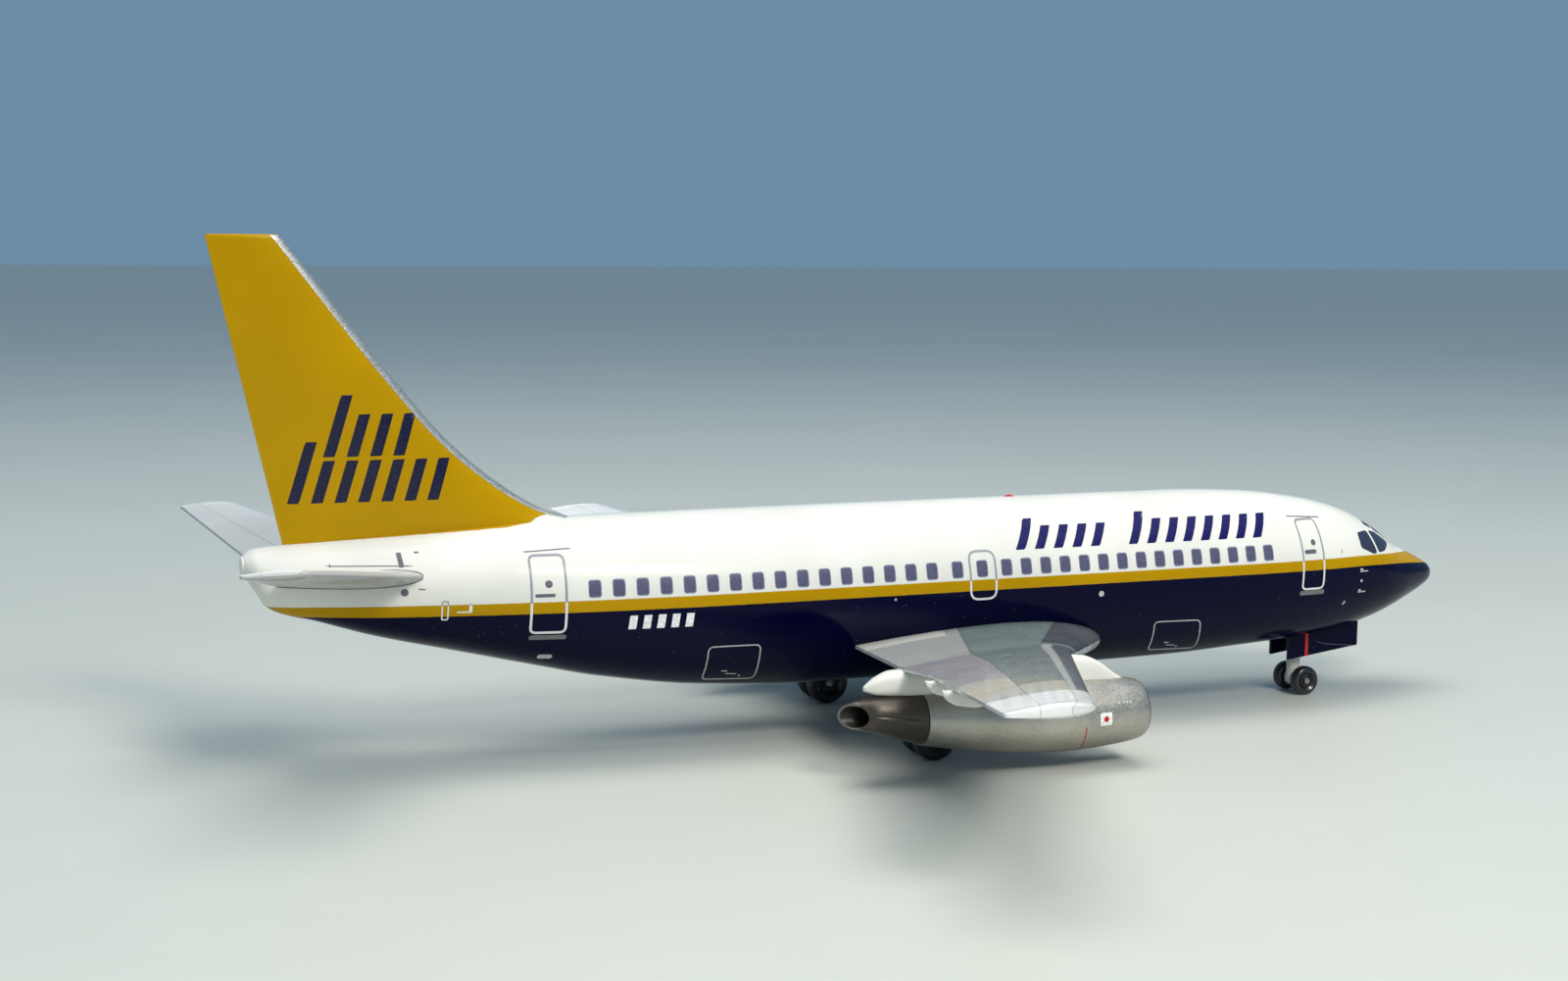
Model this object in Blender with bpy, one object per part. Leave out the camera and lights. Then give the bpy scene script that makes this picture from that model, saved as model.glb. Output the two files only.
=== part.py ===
"""A small die-cast desktop airliner with rolling wheels, built as separate pieces.

Sizes are in millimetres and become metres where a mesh is made. +X points to the nose, +Y to the
left wing tip and +Z up. The origin is on the ground, under the middle of the model. A "station" is
a distance aft of the nose tip.
"""
import math

import bmesh
import bpy
import numpy as np

MM = 0.001

# Overall sizes
OVERALL_LENGTH = 76.5
WING_SPAN = 70.9
OVERALL_HEIGHT = 28.2

# Clearances
FIT_GAP = 0.03
RUNNING_GAP = 0.04
PANEL_GAP = 0.05

# Hull casting
HULL_HEIGHT = 10.15
HULL_WIDTH = 9.4
KEEL_HEIGHT = 3.05
WIDEST_SHARE = 0.53
NOSE_LENGTH = 20.0
TAIL_LENGTH = 30.85
TAIL_CONE_INSET = 1.65
HULL_SIDES = 36

# Shares of the nose length, and of the hull's height (crown, keel) and half width
NOSE_SHAPE = (
    (0.000, 0.403, 0.403, 0.000),
    (0.015, 0.460, 0.352, 0.112),
    (0.060, 0.512, 0.308, 0.256),
    (0.125, 0.572, 0.254, 0.412),
    (0.200, 0.642, 0.196, 0.572),
    (0.275, 0.751, 0.144, 0.698),
    (0.400, 0.866, 0.090, 0.834),
    (0.550, 0.935, 0.055, 0.932),
    (0.750, 0.982, 0.031, 0.989),
    (1.000, 1.000, 0.007, 1.000),
    (1.300, 1.000, 0.000, 1.000),
)
# Shares of the tail length, and of the hull's height (crown, keel) and half width
TAIL_SHAPE = (
    (0.000, 0.998, 0.000, 1.000),
    (0.194, 0.996, 0.033, 0.987),
    (0.389, 0.992, 0.119, 0.926),
    (0.519, 0.976, 0.212, 0.840),
    (0.648, 0.954, 0.308, 0.723),
    (0.778, 0.930, 0.405, 0.579),
    (0.875, 0.912, 0.498, 0.447),
    (0.958, 0.896, 0.581, 0.330),
    (0.984, 0.886, 0.700, 0.245),
    (1.000, 0.845, 0.775, 0.106),
)

# Fin, cast with the hull: (height, station) points down its leading edge below the tip
FIN_TIP_LEADING = 72.55
FIN_TIP_TRAILING = 76.25
FIN_ROOT_TRAILING = 72.5
FIN_ROOT_HEIGHT = 11.3
FIN_ROOT_THICKNESS = 1.35
FIN_TIP_THICKNESS = 0.6
FIN_TOP_ROUND = 0.25
FIN_TOP_TRIM = (0.2, 0.08, 0.6)
FIN_SECTION_HEIGHTS = (12.8, 12.98, 13.15, 13.4, 13.9, 14.5, 15.3, 16.3, 17.5, 19.0, 21.0)
FIN_LEADING_EDGE = (
    (20.0, 66.25),
    (17.3, 63.9),
    (15.0, 61.2),
    (13.9, 59.5),
    (13.3, 58.2),
    (12.98, 56.9),
    (12.8, 55.6),
)

# Aerofoil surfaces
AEROFOIL_STEPS = 9
TRAILING_EDGE = 0.14

# Tips of wing and tailplane: how far the edges draw in over the round, and how thin the tip gets
TIP_FRONT_TRIM = 1.3
TIP_REAR_TRIM = 0.5
TIP_THINNING = 0.5

# Wing sections at the root, the engine, the bend of the trailing edge and the tip. Each has its
# span position, the stations and heights of its leading and trailing edges, and its thickness
WING_TENON_END = 2.2
ENGINE_Y = 12.1
WING_TIP_ROUND = 0.3
WING_SECTIONS = (
    (3.9, 26.35, 42.0, 5.05, 5.6, 2.45),
    (ENGINE_Y, 32.9, 42.9, 6.05, 5.95, 1.3),
    (16.5, 35.15, 43.35, 6.6, 6.5, 1.17),
    (WING_SPAN / 2, 44.85, 49.0, 8.95, 8.92, 0.6),
)

# Two flap track fairings under each wing, cast with it
TRACK_FAIRING_Y = (18.0, 23.0)
TRACK_FAIRING_AFT_REACH = 0.6
TRACK_FAIRING_LENGTH = 4.4
TRACK_FAIRING_DEPTH = 1.0
TRACK_FAIRING_WIDTH = 0.84
TRACK_FAIRING_FULLNESS = (1.3, 0.6)
TRACK_FAIRING_TAIL = 0.75
TRACK_FAIRING_TAIL_DROP = 0.3

# Tailplane
TAILPLANE_SPAN = 27.4
TAILPLANE_TENON_END = 0.5
TAILPLANE_ROOT_Y = 1.5
TAILPLANE_ROOT = (65.0, 73.2, 10.35, 10.35, 0.9)
TAILPLANE_TIP_LEADING = 73.4
TAILPLANE_TIP_HEIGHT = 12.75
TAILPLANE_TIP_THICKNESS = 0.42
TAILPLANE_TIP_ROUND = 0.25

# Engine pod: (station, height of its middle, radius) along the cowl and along the exhaust sleeve
POD_SIDES = 24
COWL_SHAPE = (
    (28.70, 2.88, 1.44),
    (28.86, 2.88, 1.58),
    (29.4, 2.88, 1.72),
    (30.5, 2.87, 1.84),
    (33.0, 2.86, 1.96),
    (36.0, 2.93, 1.92),
    (39.0, 3.10, 1.74),
    (41.9, 3.34, 1.46),
)
SLEEVE_SHAPE = (
    (41.9, 3.34, 1.43),
    (43.3, 3.53, 1.20),
    (44.6, 3.68, 0.94),
    (45.55, 3.64, 0.68),
)
INTAKE_RADIUS = 1.26
INTAKE_DEPTH = 2.3
INTAKE_LIP = ((0.4, 0.0), (0.08, 0.05))
INTAKE_FLARE = 0.04
FAN_THICKNESS = 0.35
SPINNER_LENGTH = 0.55
SPINNER_RADIUS = 0.42
SPINNER_MIDDLE = (0.55, 0.6)
SHAFT_RADIUS = 0.25
SHAFT_LENGTH = 0.7
SPIGOT_RADIUS = 0.95
SPIGOT_LENGTH = 0.9
NOZZLE_RADIUS = 0.56
NOZZLE_DEPTH = 2.0
NOZZLE_SLANT = 0.7

# Sections of pylons and fairings are circles with sine and cosine raised to this power
OBLONG_POWER = 0.7

# Pylon: (station, foot, top, half width) along it
PYLON_SHAPE = (
    (29.7, 4.20, 4.60, 0.12),
    (30.4, 4.20, 5.02, 0.30),
    (31.3, 4.20, 5.66, 0.42),
    (32.2, 4.20, 6.02, 0.48),
    (33.4, 4.20, 6.12, 0.50),
    (36.5, 4.20, 5.98, 0.52),
    (40.0, 4.20, 5.92, 0.58),
    (42.3, 4.50, 5.96, 0.70),
    (43.4, 4.62, 5.94, 0.66),
    (44.4, 4.72, 5.62, 0.45),
    (45.05, 4.95, 5.20, 0.12),
)
PYLON_SIDES = 16
PYLON_PLAIN_PART = (33.3, 36.5)
PEG_RADIUS = 0.3
PEG_STATION = 36.0
PEG_DEPTH = 0.45

# Nose gear
NOSE_GEAR_STATION = 9.96
NOSE_WHEEL_Y = 0.92
NOSE_WHEEL_DIAMETER = 1.8
NOSE_TYRE_WIDTH = 0.74
NOSE_RIM_RADIUS = 0.44
NOSE_LEG_RADIUS = 0.42
NOSE_LEG_SOCKET = 1.4
NOSE_LEG_AFT = 0.2
NOSE_AXLE_RADIUS = 0.17
NOSE_HOUSING_RADIUS = 0.52

# Main gear
MAIN_GEAR_STATION = 39.2
MAIN_GEAR_Y = 7.65
MAIN_WHEEL_PITCH = 1.56
MAIN_WHEEL_DIAMETER = 2.6
MAIN_TYRE_WIDTH = 0.9
MAIN_RIM_RADIUS = 0.62
MAIN_LEG_RADIUS = 0.27
MAIN_LEG_SOCKET = 0.45
MAIN_AXLE_RADIUS = 0.22
MAIN_HOUSING_RADIUS = 0.5

# Half of a tyre's section: shares of its half width and of its rise from the rim
TYRE_WALL = ((0.72, 0.0), (0.97, 0.3), (1.0, 0.55), (0.82, 0.84), (0.5, 1.0))
# Half of a hub's section: shares of the half width and of the rim radius, from the boss outwards
HUB_BOSS_REACH = 0.9
HUB_DISH = ((0.9, 0.62), (0.75, 0.72), (0.82, 1.0))

WHEEL_SIDES = 24
RIM_SIDES = 16
POST_SIDES = 16

# Nose gear doors
DOOR_Y = 0.95
DOOR_THICKNESS = 0.22
DOOR_FRONT = 6.15
DOOR_REAR = 11.25
DOOR_FRONT_FOOT = 2.93
DOOR_REAR_FOOT = 2.3
DOOR_TAB = 0.3


def clear_scene():
    for item in list(bpy.data.objects):
        bpy.data.objects.remove(item, do_unlink=True)


def along_x(station):
    """X of a station, a distance aft of the nose tip."""
    return OVERALL_LENGTH / 2 - np.asarray(station, dtype=float)


def smooth_through(places, values):
    """Return a function for the cubic curve through the points that never overshoots them."""
    places = np.asarray(places, dtype=float)
    values = np.asarray(values, dtype=float)
    gaps = np.diff(places)
    slopes = np.diff(values) / gaps
    tangents = np.concatenate([slopes[:1], np.zeros(len(slopes) - 1), slopes[-1:]])
    for i in range(1, len(slopes)):
        before, after = slopes[i - 1], slopes[i]
        if before * after > 0:
            near, far = 2 * gaps[i] + gaps[i - 1], gaps[i] + 2 * gaps[i - 1]
            tangents[i] = (near + far) / (near / before + far / after)

    def curve(place):
        place = np.clip(place, places[0], places[-1])
        i = np.clip(np.searchsorted(places, place) - 1, 0, len(gaps) - 1)
        t = (place - places[i]) / gaps[i]
        return (
            values[i] * (1 + 2 * t) * (1 - t) ** 2
            + gaps[i] * tangents[i] * t * (1 - t) ** 2
            + values[i + 1] * t**2 * (3 - 2 * t)
            + gaps[i] * tangents[i + 1] * t**2 * (t - 1)
        )

    return curve


def smooth_columns(table):
    """One smooth curve for each column after the first, which holds the places."""
    columns = np.array(table, dtype=float).T
    return [smooth_through(columns[0], column) for column in columns[1:]]


# ---------------------------------------------------------------- meshes


def skin(rings, hoop=False, tips=(None, None)):
    """Vertices and faces of a body that runs from ring to ring.

    The ends are closed by a fan round their middle, or round a tip. A hoop joins its last ring to
    its first instead.
    """
    rings = [np.asarray(ring, dtype=float) for ring in rings]
    count = len(rings[0])
    faces = []
    steps = len(rings) if hoop else len(rings) - 1
    for step in range(steps):
        low = step * count
        high = (step + 1) % len(rings) * count
        for i in range(count):
            j = (i + 1) % count
            faces.append((low + i, low + j, high + j, high + i))
    points = list(np.concatenate(rings))
    if not hoop:
        for ring, base, tip in ((rings[0], 0, tips[0]), (rings[-1], (len(rings) - 1) * count, tips[1])):
            points.append(ring.mean(axis=0) if tip is None else np.asarray(tip, dtype=float))
            middle = len(points) - 1
            for i in range(count):
                faces.append((middle, base + i, base + (i + 1) % count))
    return points, faces


def circle(centre, radius, axis, sides):
    """Points round a circle whose flat sides face along the main directions."""
    turn = (np.arange(sides) + 0.5) * 2 * math.pi / sides
    first, second = [i for i in range(3) if i != axis]
    points = np.tile(np.asarray(centre, dtype=float), (sides, 1))
    points[:, first] += radius * np.cos(turn)
    points[:, second] += radius * np.sin(turn)
    return points


def paint(name, colour, roughness, metallic=0.0):
    """One plain material, shared by every piece that has its name."""
    material = bpy.data.materials.get(name)
    if material is None:
        material = bpy.data.materials.new(name)
        material.use_nodes = True
        shader = material.node_tree.nodes["Principled BSDF"]
        shader.inputs["Base Color"].default_value = (*colour, 1.0)
        shader.inputs["Roughness"].default_value = roughness
        shader.inputs["Metallic"].default_value = metallic
    return material


def body_empty(name, place):
    """An empty that carries a body; a moving body has it on its axle."""
    empty = bpy.data.objects.new(name, None)
    empty.location = np.asarray(place, dtype=float) * MM
    bpy.context.scene.collection.objects.link(empty)
    return empty


def piece(name, shape, material=None, place=(0.0, 0.0, 0.0), parent=None):
    """Make one object from points and faces given in the model's frame."""
    points, faces = shape
    mesh = bpy.data.meshes.new(name)
    local = (np.array(points) - np.asarray(place, dtype=float)) * MM
    mesh.from_pydata(local.tolist(), [], faces)
    work = bmesh.new()
    work.from_mesh(mesh)
    bmesh.ops.recalc_face_normals(work, faces=work.faces)
    work.to_mesh(mesh)
    work.free()
    made = bpy.data.objects.new(name, mesh)
    bpy.context.scene.collection.objects.link(made)
    world = np.asarray(place, dtype=float) * MM
    made.location = world - (np.array(parent.location) if parent else 0)
    made.parent = parent
    if material:
        mesh.materials.append(material)
    return made


def combine(target, shape, operation):
    """Union a shape with an object, or cut it out, and keep only the result."""
    tool = piece("tool", shape)
    modifier = target.modifiers.new(operation.lower(), "BOOLEAN")
    modifier.operation = operation
    modifier.solver = "EXACT"
    modifier.object = tool
    bpy.context.view_layer.update()
    graph = bpy.context.evaluated_depsgraph_get()
    result = bpy.data.meshes.new_from_object(target.evaluated_get(graph))
    target.modifiers.clear()
    target.data = result
    bpy.data.objects.remove(tool, do_unlink=True)


def smooth(made, angle=35):
    made.data.shade_smooth()
    made.data.set_sharp_from_angle(angle=math.radians(angle))


def post(x, y, foot, top, radius):
    """An upright round post."""
    return skin([circle((x, y, z), radius, 2, POST_SIDES) for z in (foot, top)])


# ---------------------------------------------------------------- hull and fin

HULL_LENGTH = OVERALL_LENGTH - TAIL_CONE_INSET
TAIL_START = HULL_LENGTH - TAIL_LENGTH


def hull_curves():
    """Crown, keel and half width as curves over the root of the station."""
    rows = [(share * NOSE_LENGTH, *rest) for share, *rest in NOSE_SHAPE]
    rows += [(TAIL_START + share * TAIL_LENGTH, *rest) for share, *rest in TAIL_SHAPE]
    table = np.array(rows)
    table[:, 0] = np.sqrt(table[:, 0])
    table[:, 1:3] = KEEL_HEIGHT + HULL_HEIGHT * table[:, 1:3]
    table[:, 3] *= HULL_WIDTH / 2
    return smooth_columns(table)


HULL_CROWN, HULL_KEEL, HULL_HALF_WIDTH = hull_curves()


def hull_middle(station):
    root = np.sqrt(station)
    return HULL_KEEL(root) + WIDEST_SHARE * (HULL_CROWN(root) - HULL_KEEL(root))


def hull_ring(station):
    """Half an ellipse above the widest line and another below it."""
    root = math.sqrt(station)
    middle = hull_middle(station)
    turn = np.arange(HULL_SIDES) * 2 * math.pi / HULL_SIDES
    rise = np.where(np.sin(turn) > 0, HULL_CROWN(root) - middle, middle - HULL_KEEL(root))
    y = HULL_HALF_WIDTH(root) * np.cos(turn)
    return np.column_stack([np.full(HULL_SIDES, along_x(station)), y, middle + rise * np.sin(turn)])


def hull_belly(station, y):
    """Height of the hull's lower surface at a distance from its middle plane."""
    root = math.sqrt(station)
    middle = hull_middle(station)
    share = math.sqrt(1 - (y / HULL_HALF_WIDTH(root)) ** 2)
    return middle - (middle - HULL_KEEL(root)) * share


def hull_shape():
    nose = NOSE_LENGTH * np.linspace(0.05, 1, 12) ** 2
    shares = np.array([row[0] for row in TAIL_SHAPE])
    shares = np.sort(np.concatenate([shares, (shares[1:] + shares[:-1]) / 2]))
    tail = TAIL_START + TAIL_LENGTH * shares
    stations = np.concatenate([nose, [NOSE_LENGTH * NOSE_SHAPE[-1][0]], tail])
    tip = (along_x(0.0), 0.0, hull_middle(0.0))
    return skin([hull_ring(station) for station in stations], tips=(tip, None))


def aerofoil(chord, thickness, grow=0.0):
    """Points round an aerofoil: distance aft of the leading edge, and height above the chord."""
    share = (1 - np.cos(np.linspace(0, math.pi, AEROFOIL_STEPS + 1))) / 2
    curve = 0.2969 * np.sqrt(share) - 0.126 * share - 0.3516 * share**2
    curve += 0.2843 * share**3 - 0.1015 * share**4
    half = 5 * thickness * curve + share * TRAILING_EDGE / 2 + grow
    half[0] = 0.0
    aft = share * (chord + 2 * grow) - grow
    upper = np.column_stack([aft[::-1], half[::-1]])
    lower = np.column_stack([aft[1:], -half[1:]])
    return np.concatenate([upper, lower])


def fin_trailing(height):
    share = (height - FIN_ROOT_HEIGHT) / (OVERALL_HEIGHT - FIN_ROOT_HEIGHT)
    return FIN_ROOT_TRAILING + share * (FIN_TIP_TRAILING - FIN_ROOT_TRAILING)


def fin_shape():
    """Level aerofoil sections from inside the hull up to a slightly rounded tip."""
    edge = sorted(FIN_LEADING_EDGE + ((OVERALL_HEIGHT, FIN_TIP_LEADING),))
    leading = smooth_through(*zip(*edge))
    heights = [FIN_ROOT_HEIGHT, *FIN_SECTION_HEIGHTS, OVERALL_HEIGHT - FIN_TOP_ROUND, OVERALL_HEIGHT]
    front_trim, back_trim, thinning = FIN_TOP_TRIM
    rings = []
    for height in heights:
        share = (height - FIN_ROOT_HEIGHT) / (OVERALL_HEIGHT - FIN_ROOT_HEIGHT)
        thickness = FIN_ROOT_THICKNESS + share * (FIN_TIP_THICKNESS - FIN_ROOT_THICKNESS)
        front, back = float(leading(height)), fin_trailing(height)
        if height == OVERALL_HEIGHT:
            front, back, thickness = front + front_trim, back - back_trim, thickness * thinning
        outline = aerofoil(back - front, thickness)
        level = np.full(len(outline), height)
        rings.append(np.column_stack([along_x(front + outline[:, 0]), outline[:, 1], level]))
    return skin(rings)


# ---------------------------------------------------------------- wing and tailplane


def blend_section(first, second, share):
    return tuple(a + (b - a) * share for a, b in zip(first, second))


def wing_section(y):
    """Leading and trailing edge stations, their heights, and the thickness at a span position."""
    places, *columns = zip(*WING_SECTIONS)
    return tuple(float(np.interp(abs(y), places, column)) for column in columns)


def tailplane_section(y):
    tip = (TAILPLANE_TIP_LEADING, OVERALL_LENGTH, TAILPLANE_TIP_HEIGHT, TAILPLANE_TIP_HEIGHT,
           TAILPLANE_TIP_THICKNESS)
    share = (abs(y) - TAILPLANE_ROOT_Y) / (TAILPLANE_SPAN / 2 - TAILPLANE_ROOT_Y)
    return blend_section(TAILPLANE_ROOT, tip, share)


def surface_ring(section, y, side, grow=0.0):
    front, back, front_height, back_height, thickness = section
    outline = aerofoil(back - front, thickness, grow)
    share = outline[:, 0] / (back - front)
    height = front_height + share * (back_height - front_height) + outline[:, 1]
    return np.column_stack([along_x(front + outline[:, 0]), np.full(len(outline), side * y), height])


def rounded_tip(section, inset):
    front, back, front_height, back_height, thickness = section
    front, back = front + inset * TIP_FRONT_TRIM, back - inset * TIP_REAR_TRIM
    return front, back, front_height, back_height, thickness * TIP_THINNING


def lifting_surface(section, spans, side, tip_round, grow=0.0):
    """Sections at each span position, and a smaller one that rounds off the tip."""
    rings = [surface_ring(section(y), y, side, grow) for y in spans[:-1]]
    last = spans[-1]
    rings.append(surface_ring(section(last), last - tip_round, side, grow))
    rings.append(surface_ring(rounded_tip(section(last), tip_round), last, side, grow))
    return skin(rings)


def wing_shape(side, grow=0.0):
    places = [row[0] for row in WING_SECTIONS]
    outer = np.linspace(places[-2], places[-1], 4)
    spans = [WING_TENON_END - grow, *places[:-2], *outer]
    return lifting_surface(wing_section, spans, side, WING_TIP_ROUND, grow)


def wing_underside(station, y):
    """Height of the wing's lower surface at a station and span position."""
    front, back, front_height, back_height, thickness = wing_section(y)
    outline = aerofoil(back - front, thickness)[AEROFOIL_STEPS:]
    depth = np.interp(station - front, outline[:, 0], outline[:, 1])
    share = (station - front) / (back - front)
    return front_height + share * (back_height - front_height) + depth


def pod_section(station, foot, top, half_width, y, sides):
    """A rounded upright section of a blade or fairing."""
    turn = (np.arange(sides) + 0.5) * 2 * math.pi / sides
    across = np.sign(np.cos(turn)) * np.abs(np.cos(turn)) ** OBLONG_POWER
    up = np.sign(np.sin(turn)) * np.abs(np.sin(turn)) ** OBLONG_POWER
    height = (foot + top) / 2 + up * (top - foot) / 2
    return np.column_stack([np.full(sides, along_x(station)), y + across * half_width, height])


def track_fairing_shape(side, y):
    """A canoe under the outer flap, its top buried in the wing."""
    front, rear, front_height, rear_height, _ = wing_section(y)
    skew, power = TRACK_FAIRING_FULLNESS
    rings = []
    for share in np.linspace(0.03, 0.97, 9):
        station = rear + TRACK_FAIRING_AFT_REACH - TRACK_FAIRING_LENGTH * (1 - share)
        fullness = math.sin(math.pi * share**skew) ** power
        chord_share = min((station - front) / (rear - front), 1.0)
        chord_height = front_height + chord_share * (rear_height - front_height)
        drop = TRACK_FAIRING_DEPTH * fullness
        tail = max(share - TRACK_FAIRING_TAIL, 0) / (1 - TRACK_FAIRING_TAIL)
        top = chord_height - TRACK_FAIRING_TAIL_DROP * tail * drop
        half_width = TRACK_FAIRING_WIDTH / 2 * fullness
        rings.append(pod_section(station, top - drop, top, half_width, side * y, PYLON_SIDES))
    return skin(rings)


# ---------------------------------------------------------------- engine pod

COWL_HEIGHT, COWL_RADIUS = smooth_columns(COWL_SHAPE)
COWL_FRONT = COWL_SHAPE[0][0]
COWL_REAR = COWL_SHAPE[-1][0]
SLEEVE_FRONT = COWL_REAR + PANEL_GAP


def pod_ring(station, height, radius, side):
    return circle((along_x(station), side * ENGINE_Y, height), radius, 0, POD_SIDES)


def cowl_rings(side, grow=0.0):
    stations = [row[0] for row in COWL_SHAPE]
    return [pod_ring(s, COWL_HEIGHT(s), COWL_RADIUS(s) + grow, side) for s in stations]


def cowl_shape(side):
    """Open intake duct, lip, outer skin, and a bore at the rear for the exhaust sleeve."""
    front_height, rear_height = COWL_SHAPE[0][1], COWL_SHAPE[-1][1]
    duct_end = COWL_FRONT + INTAKE_DEPTH
    bore = SPIGOT_RADIUS + FIT_GAP
    bore_end = COWL_REAR - SPIGOT_LENGTH - FIT_GAP
    shaft_bore = SHAFT_RADIUS + FIT_GAP
    shaft_end = duct_end + SHAFT_LENGTH + FIT_GAP
    rings = [pod_ring(shaft_end, front_height, shaft_bore, side)]
    rings.append(pod_ring(duct_end, front_height, shaft_bore, side))
    rings.append(pod_ring(duct_end, front_height, INTAKE_RADIUS + INTAKE_FLARE, side))
    for depth, wider in INTAKE_LIP:
        rings.append(pod_ring(COWL_FRONT + depth, front_height, INTAKE_RADIUS + wider, side))
    rings += cowl_rings(side)
    rings.append(pod_ring(COWL_REAR, rear_height, bore, side))
    rings.append(pod_ring(bore_end, rear_height, bore, side))
    return skin(rings)


def fan_shape(side):
    """Fan disc with a spinner in front and a short shaft behind."""
    height = COWL_SHAPE[0][1]
    rear = COWL_FRONT + INTAKE_DEPTH - FIT_GAP
    front = rear - FAN_THICKNESS
    rim = INTAKE_RADIUS - FIT_GAP
    tip = (along_x(front - SPINNER_LENGTH), side * ENGINE_Y, height)
    ahead, narrower = SPINNER_MIDDLE
    profile = [(front - SPINNER_LENGTH * ahead, SPINNER_RADIUS * narrower), (front, SPINNER_RADIUS)]
    profile += [(front, rim), (rear, rim), (rear, SHAFT_RADIUS), (rear + SHAFT_LENGTH, SHAFT_RADIUS)]
    return skin([pod_ring(s, height, radius, side) for s, radius in profile], tips=(tip, None))


def sleeve_stations():
    stations = [row[0] for row in SLEEVE_SHAPE]
    stations[0] = SLEEVE_FRONT
    return stations


def slanted(ring, side, station):
    """Slant the end of the nozzle, so that its outboard side is cut further forward."""
    reach = (ring[:, 1] - side * ENGINE_Y) * side / SLEEVE_SHAPE[-1][2]
    ring[:, 0] = along_x(station) + NOZZLE_SLANT * reach
    return ring


def sleeve_shape(side):
    """Spigot, tapering outer skin, slanted mouth and the bore of the nozzle."""
    rear_height = COWL_SHAPE[-1][1]
    end, end_height, end_radius = SLEEVE_SHAPE[-1]
    rings = [pod_ring(COWL_REAR - SPIGOT_LENGTH, rear_height, SPIGOT_RADIUS, side)]
    rings.append(pod_ring(SLEEVE_FRONT, rear_height, SPIGOT_RADIUS, side))
    rings.append(pod_ring(SLEEVE_FRONT, SLEEVE_SHAPE[0][1], SLEEVE_SHAPE[0][2], side))
    rings += [pod_ring(*row, side) for row in SLEEVE_SHAPE[1:-1]]
    rings.append(slanted(pod_ring(end, end_height, end_radius, side), side, end))
    rings.append(slanted(pod_ring(end, end_height, NOZZLE_RADIUS, side), side, end))
    rings.append(pod_ring(end - NOZZLE_DEPTH, end_height, NOZZLE_RADIUS, side))
    return skin(rings)


def pod_outer(side, grow):
    """The whole outside of the cowl and sleeve, to cut the pylon's foot with."""
    rings = cowl_rings(side, grow)[:-1]
    rings += [pod_ring(s, h, r + grow + FIT_GAP, side) for s, h, r in SLEEVE_SHAPE[:-1]]
    end, end_height, end_radius = SLEEVE_SHAPE[-1]
    rings.append(pod_ring(end + NOZZLE_SLANT, end_height, end_radius + grow, side))
    return skin(rings)


def pylon_shape(side):
    foot, top, half_width = smooth_columns(PYLON_SHAPE)
    first, last = PYLON_SHAPE[0][0], PYLON_SHAPE[-1][0]
    plain_from, plain_to = PYLON_PLAIN_PART
    stations = np.concatenate([np.linspace(first, plain_from, 7), np.linspace(plain_to, last, 8)])
    y = side * ENGINE_Y
    rings = [pod_section(s, foot(s), top(s), half_width(s), y, PYLON_SIDES) for s in stations]
    return skin(rings)


# ---------------------------------------------------------------- landing gear


def spun(profile, middle, sides):
    """A hoop about the Y axis from (distance along Y, radius) points round its section."""
    x, y, z = middle
    return skin([circle((x, y + along, z), radius, 1, sides) for along, radius in profile], hoop=True)


def tyre_shape(middle, diameter, width, bore):
    """A tyre with a flat tread facet under the axle, so that it rests on the ground."""
    tread = diameter / 2 / math.cos(math.pi / WHEEL_SIDES)
    rise = tread - bore
    outward = [(width / 2 * along, bore + rise * up) for along, up in TYRE_WALL]
    profile = outward + [(-along, radius) for along, radius in reversed(outward)]
    return spun(profile, middle, WHEEL_SIDES)


def hub_shape(middle, rim, width, bore):
    """A dished wheel hub with a bore for the axle."""
    profile = [(width / 2 * HUB_BOSS_REACH, bore)]
    profile += [(width / 2 * along, rim * share) for along, share in HUB_DISH]
    profile += [(-along, radius) for along, radius in reversed(profile)]
    return spun(profile, middle, RIM_SIDES)


def axle_shape(middle, half_length, radius):
    x, y, z = middle
    return skin([circle((x, y + along, z), radius, 1, POST_SIDES) for along in (-half_length, half_length)])


def wheelset(name, middle, wheel_offset, sizes, labels, materials):
    """Axle, two hubs and two tyres, all carried by an empty on the axle."""
    diameter, width, rim, axle_radius = sizes
    rubber, hub_paint, steel = materials
    carrier = body_empty(name + "_wheelset", middle)
    axle_form = axle_shape(middle, wheel_offset + width / 2, axle_radius)
    smooth(piece(name + "_axle", axle_form, steel, middle, carrier))
    for label, way in zip(labels, (1, -1)):
        seat = (middle[0], middle[1] + way * wheel_offset, middle[2])
        hub_form = hub_shape(seat, rim, width, axle_radius + FIT_GAP)
        tyre_form = tyre_shape(seat, diameter, width, rim + FIT_GAP)
        smooth(piece(name + "_hub_" + label, hub_form, hub_paint, middle, carrier))
        smooth(piece(name + "_tyre_" + label, tyre_form, rubber, middle, carrier))


def leg(name, middle, x_post, top, post_radius, housing, axle_radius, material, parent):
    """A round leg with a cross tube at its foot, bored for the axle."""
    housing_radius, housing_half = housing
    x, y, z = middle
    bore = axle_radius + RUNNING_GAP
    foot = z + (housing_radius + bore) / 2
    made = piece(name, post(x_post, y, foot, top, post_radius), material, middle, parent)
    ends = (-housing_half, housing_half)
    tube = [circle((x, y + along, z), housing_radius, 1, POST_SIDES) for along in ends]
    combine(made, skin(tube), "UNION")
    combine(made, axle_shape(middle, housing_half * 2, bore), "DIFFERENCE")
    smooth(made)
    return made


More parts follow.
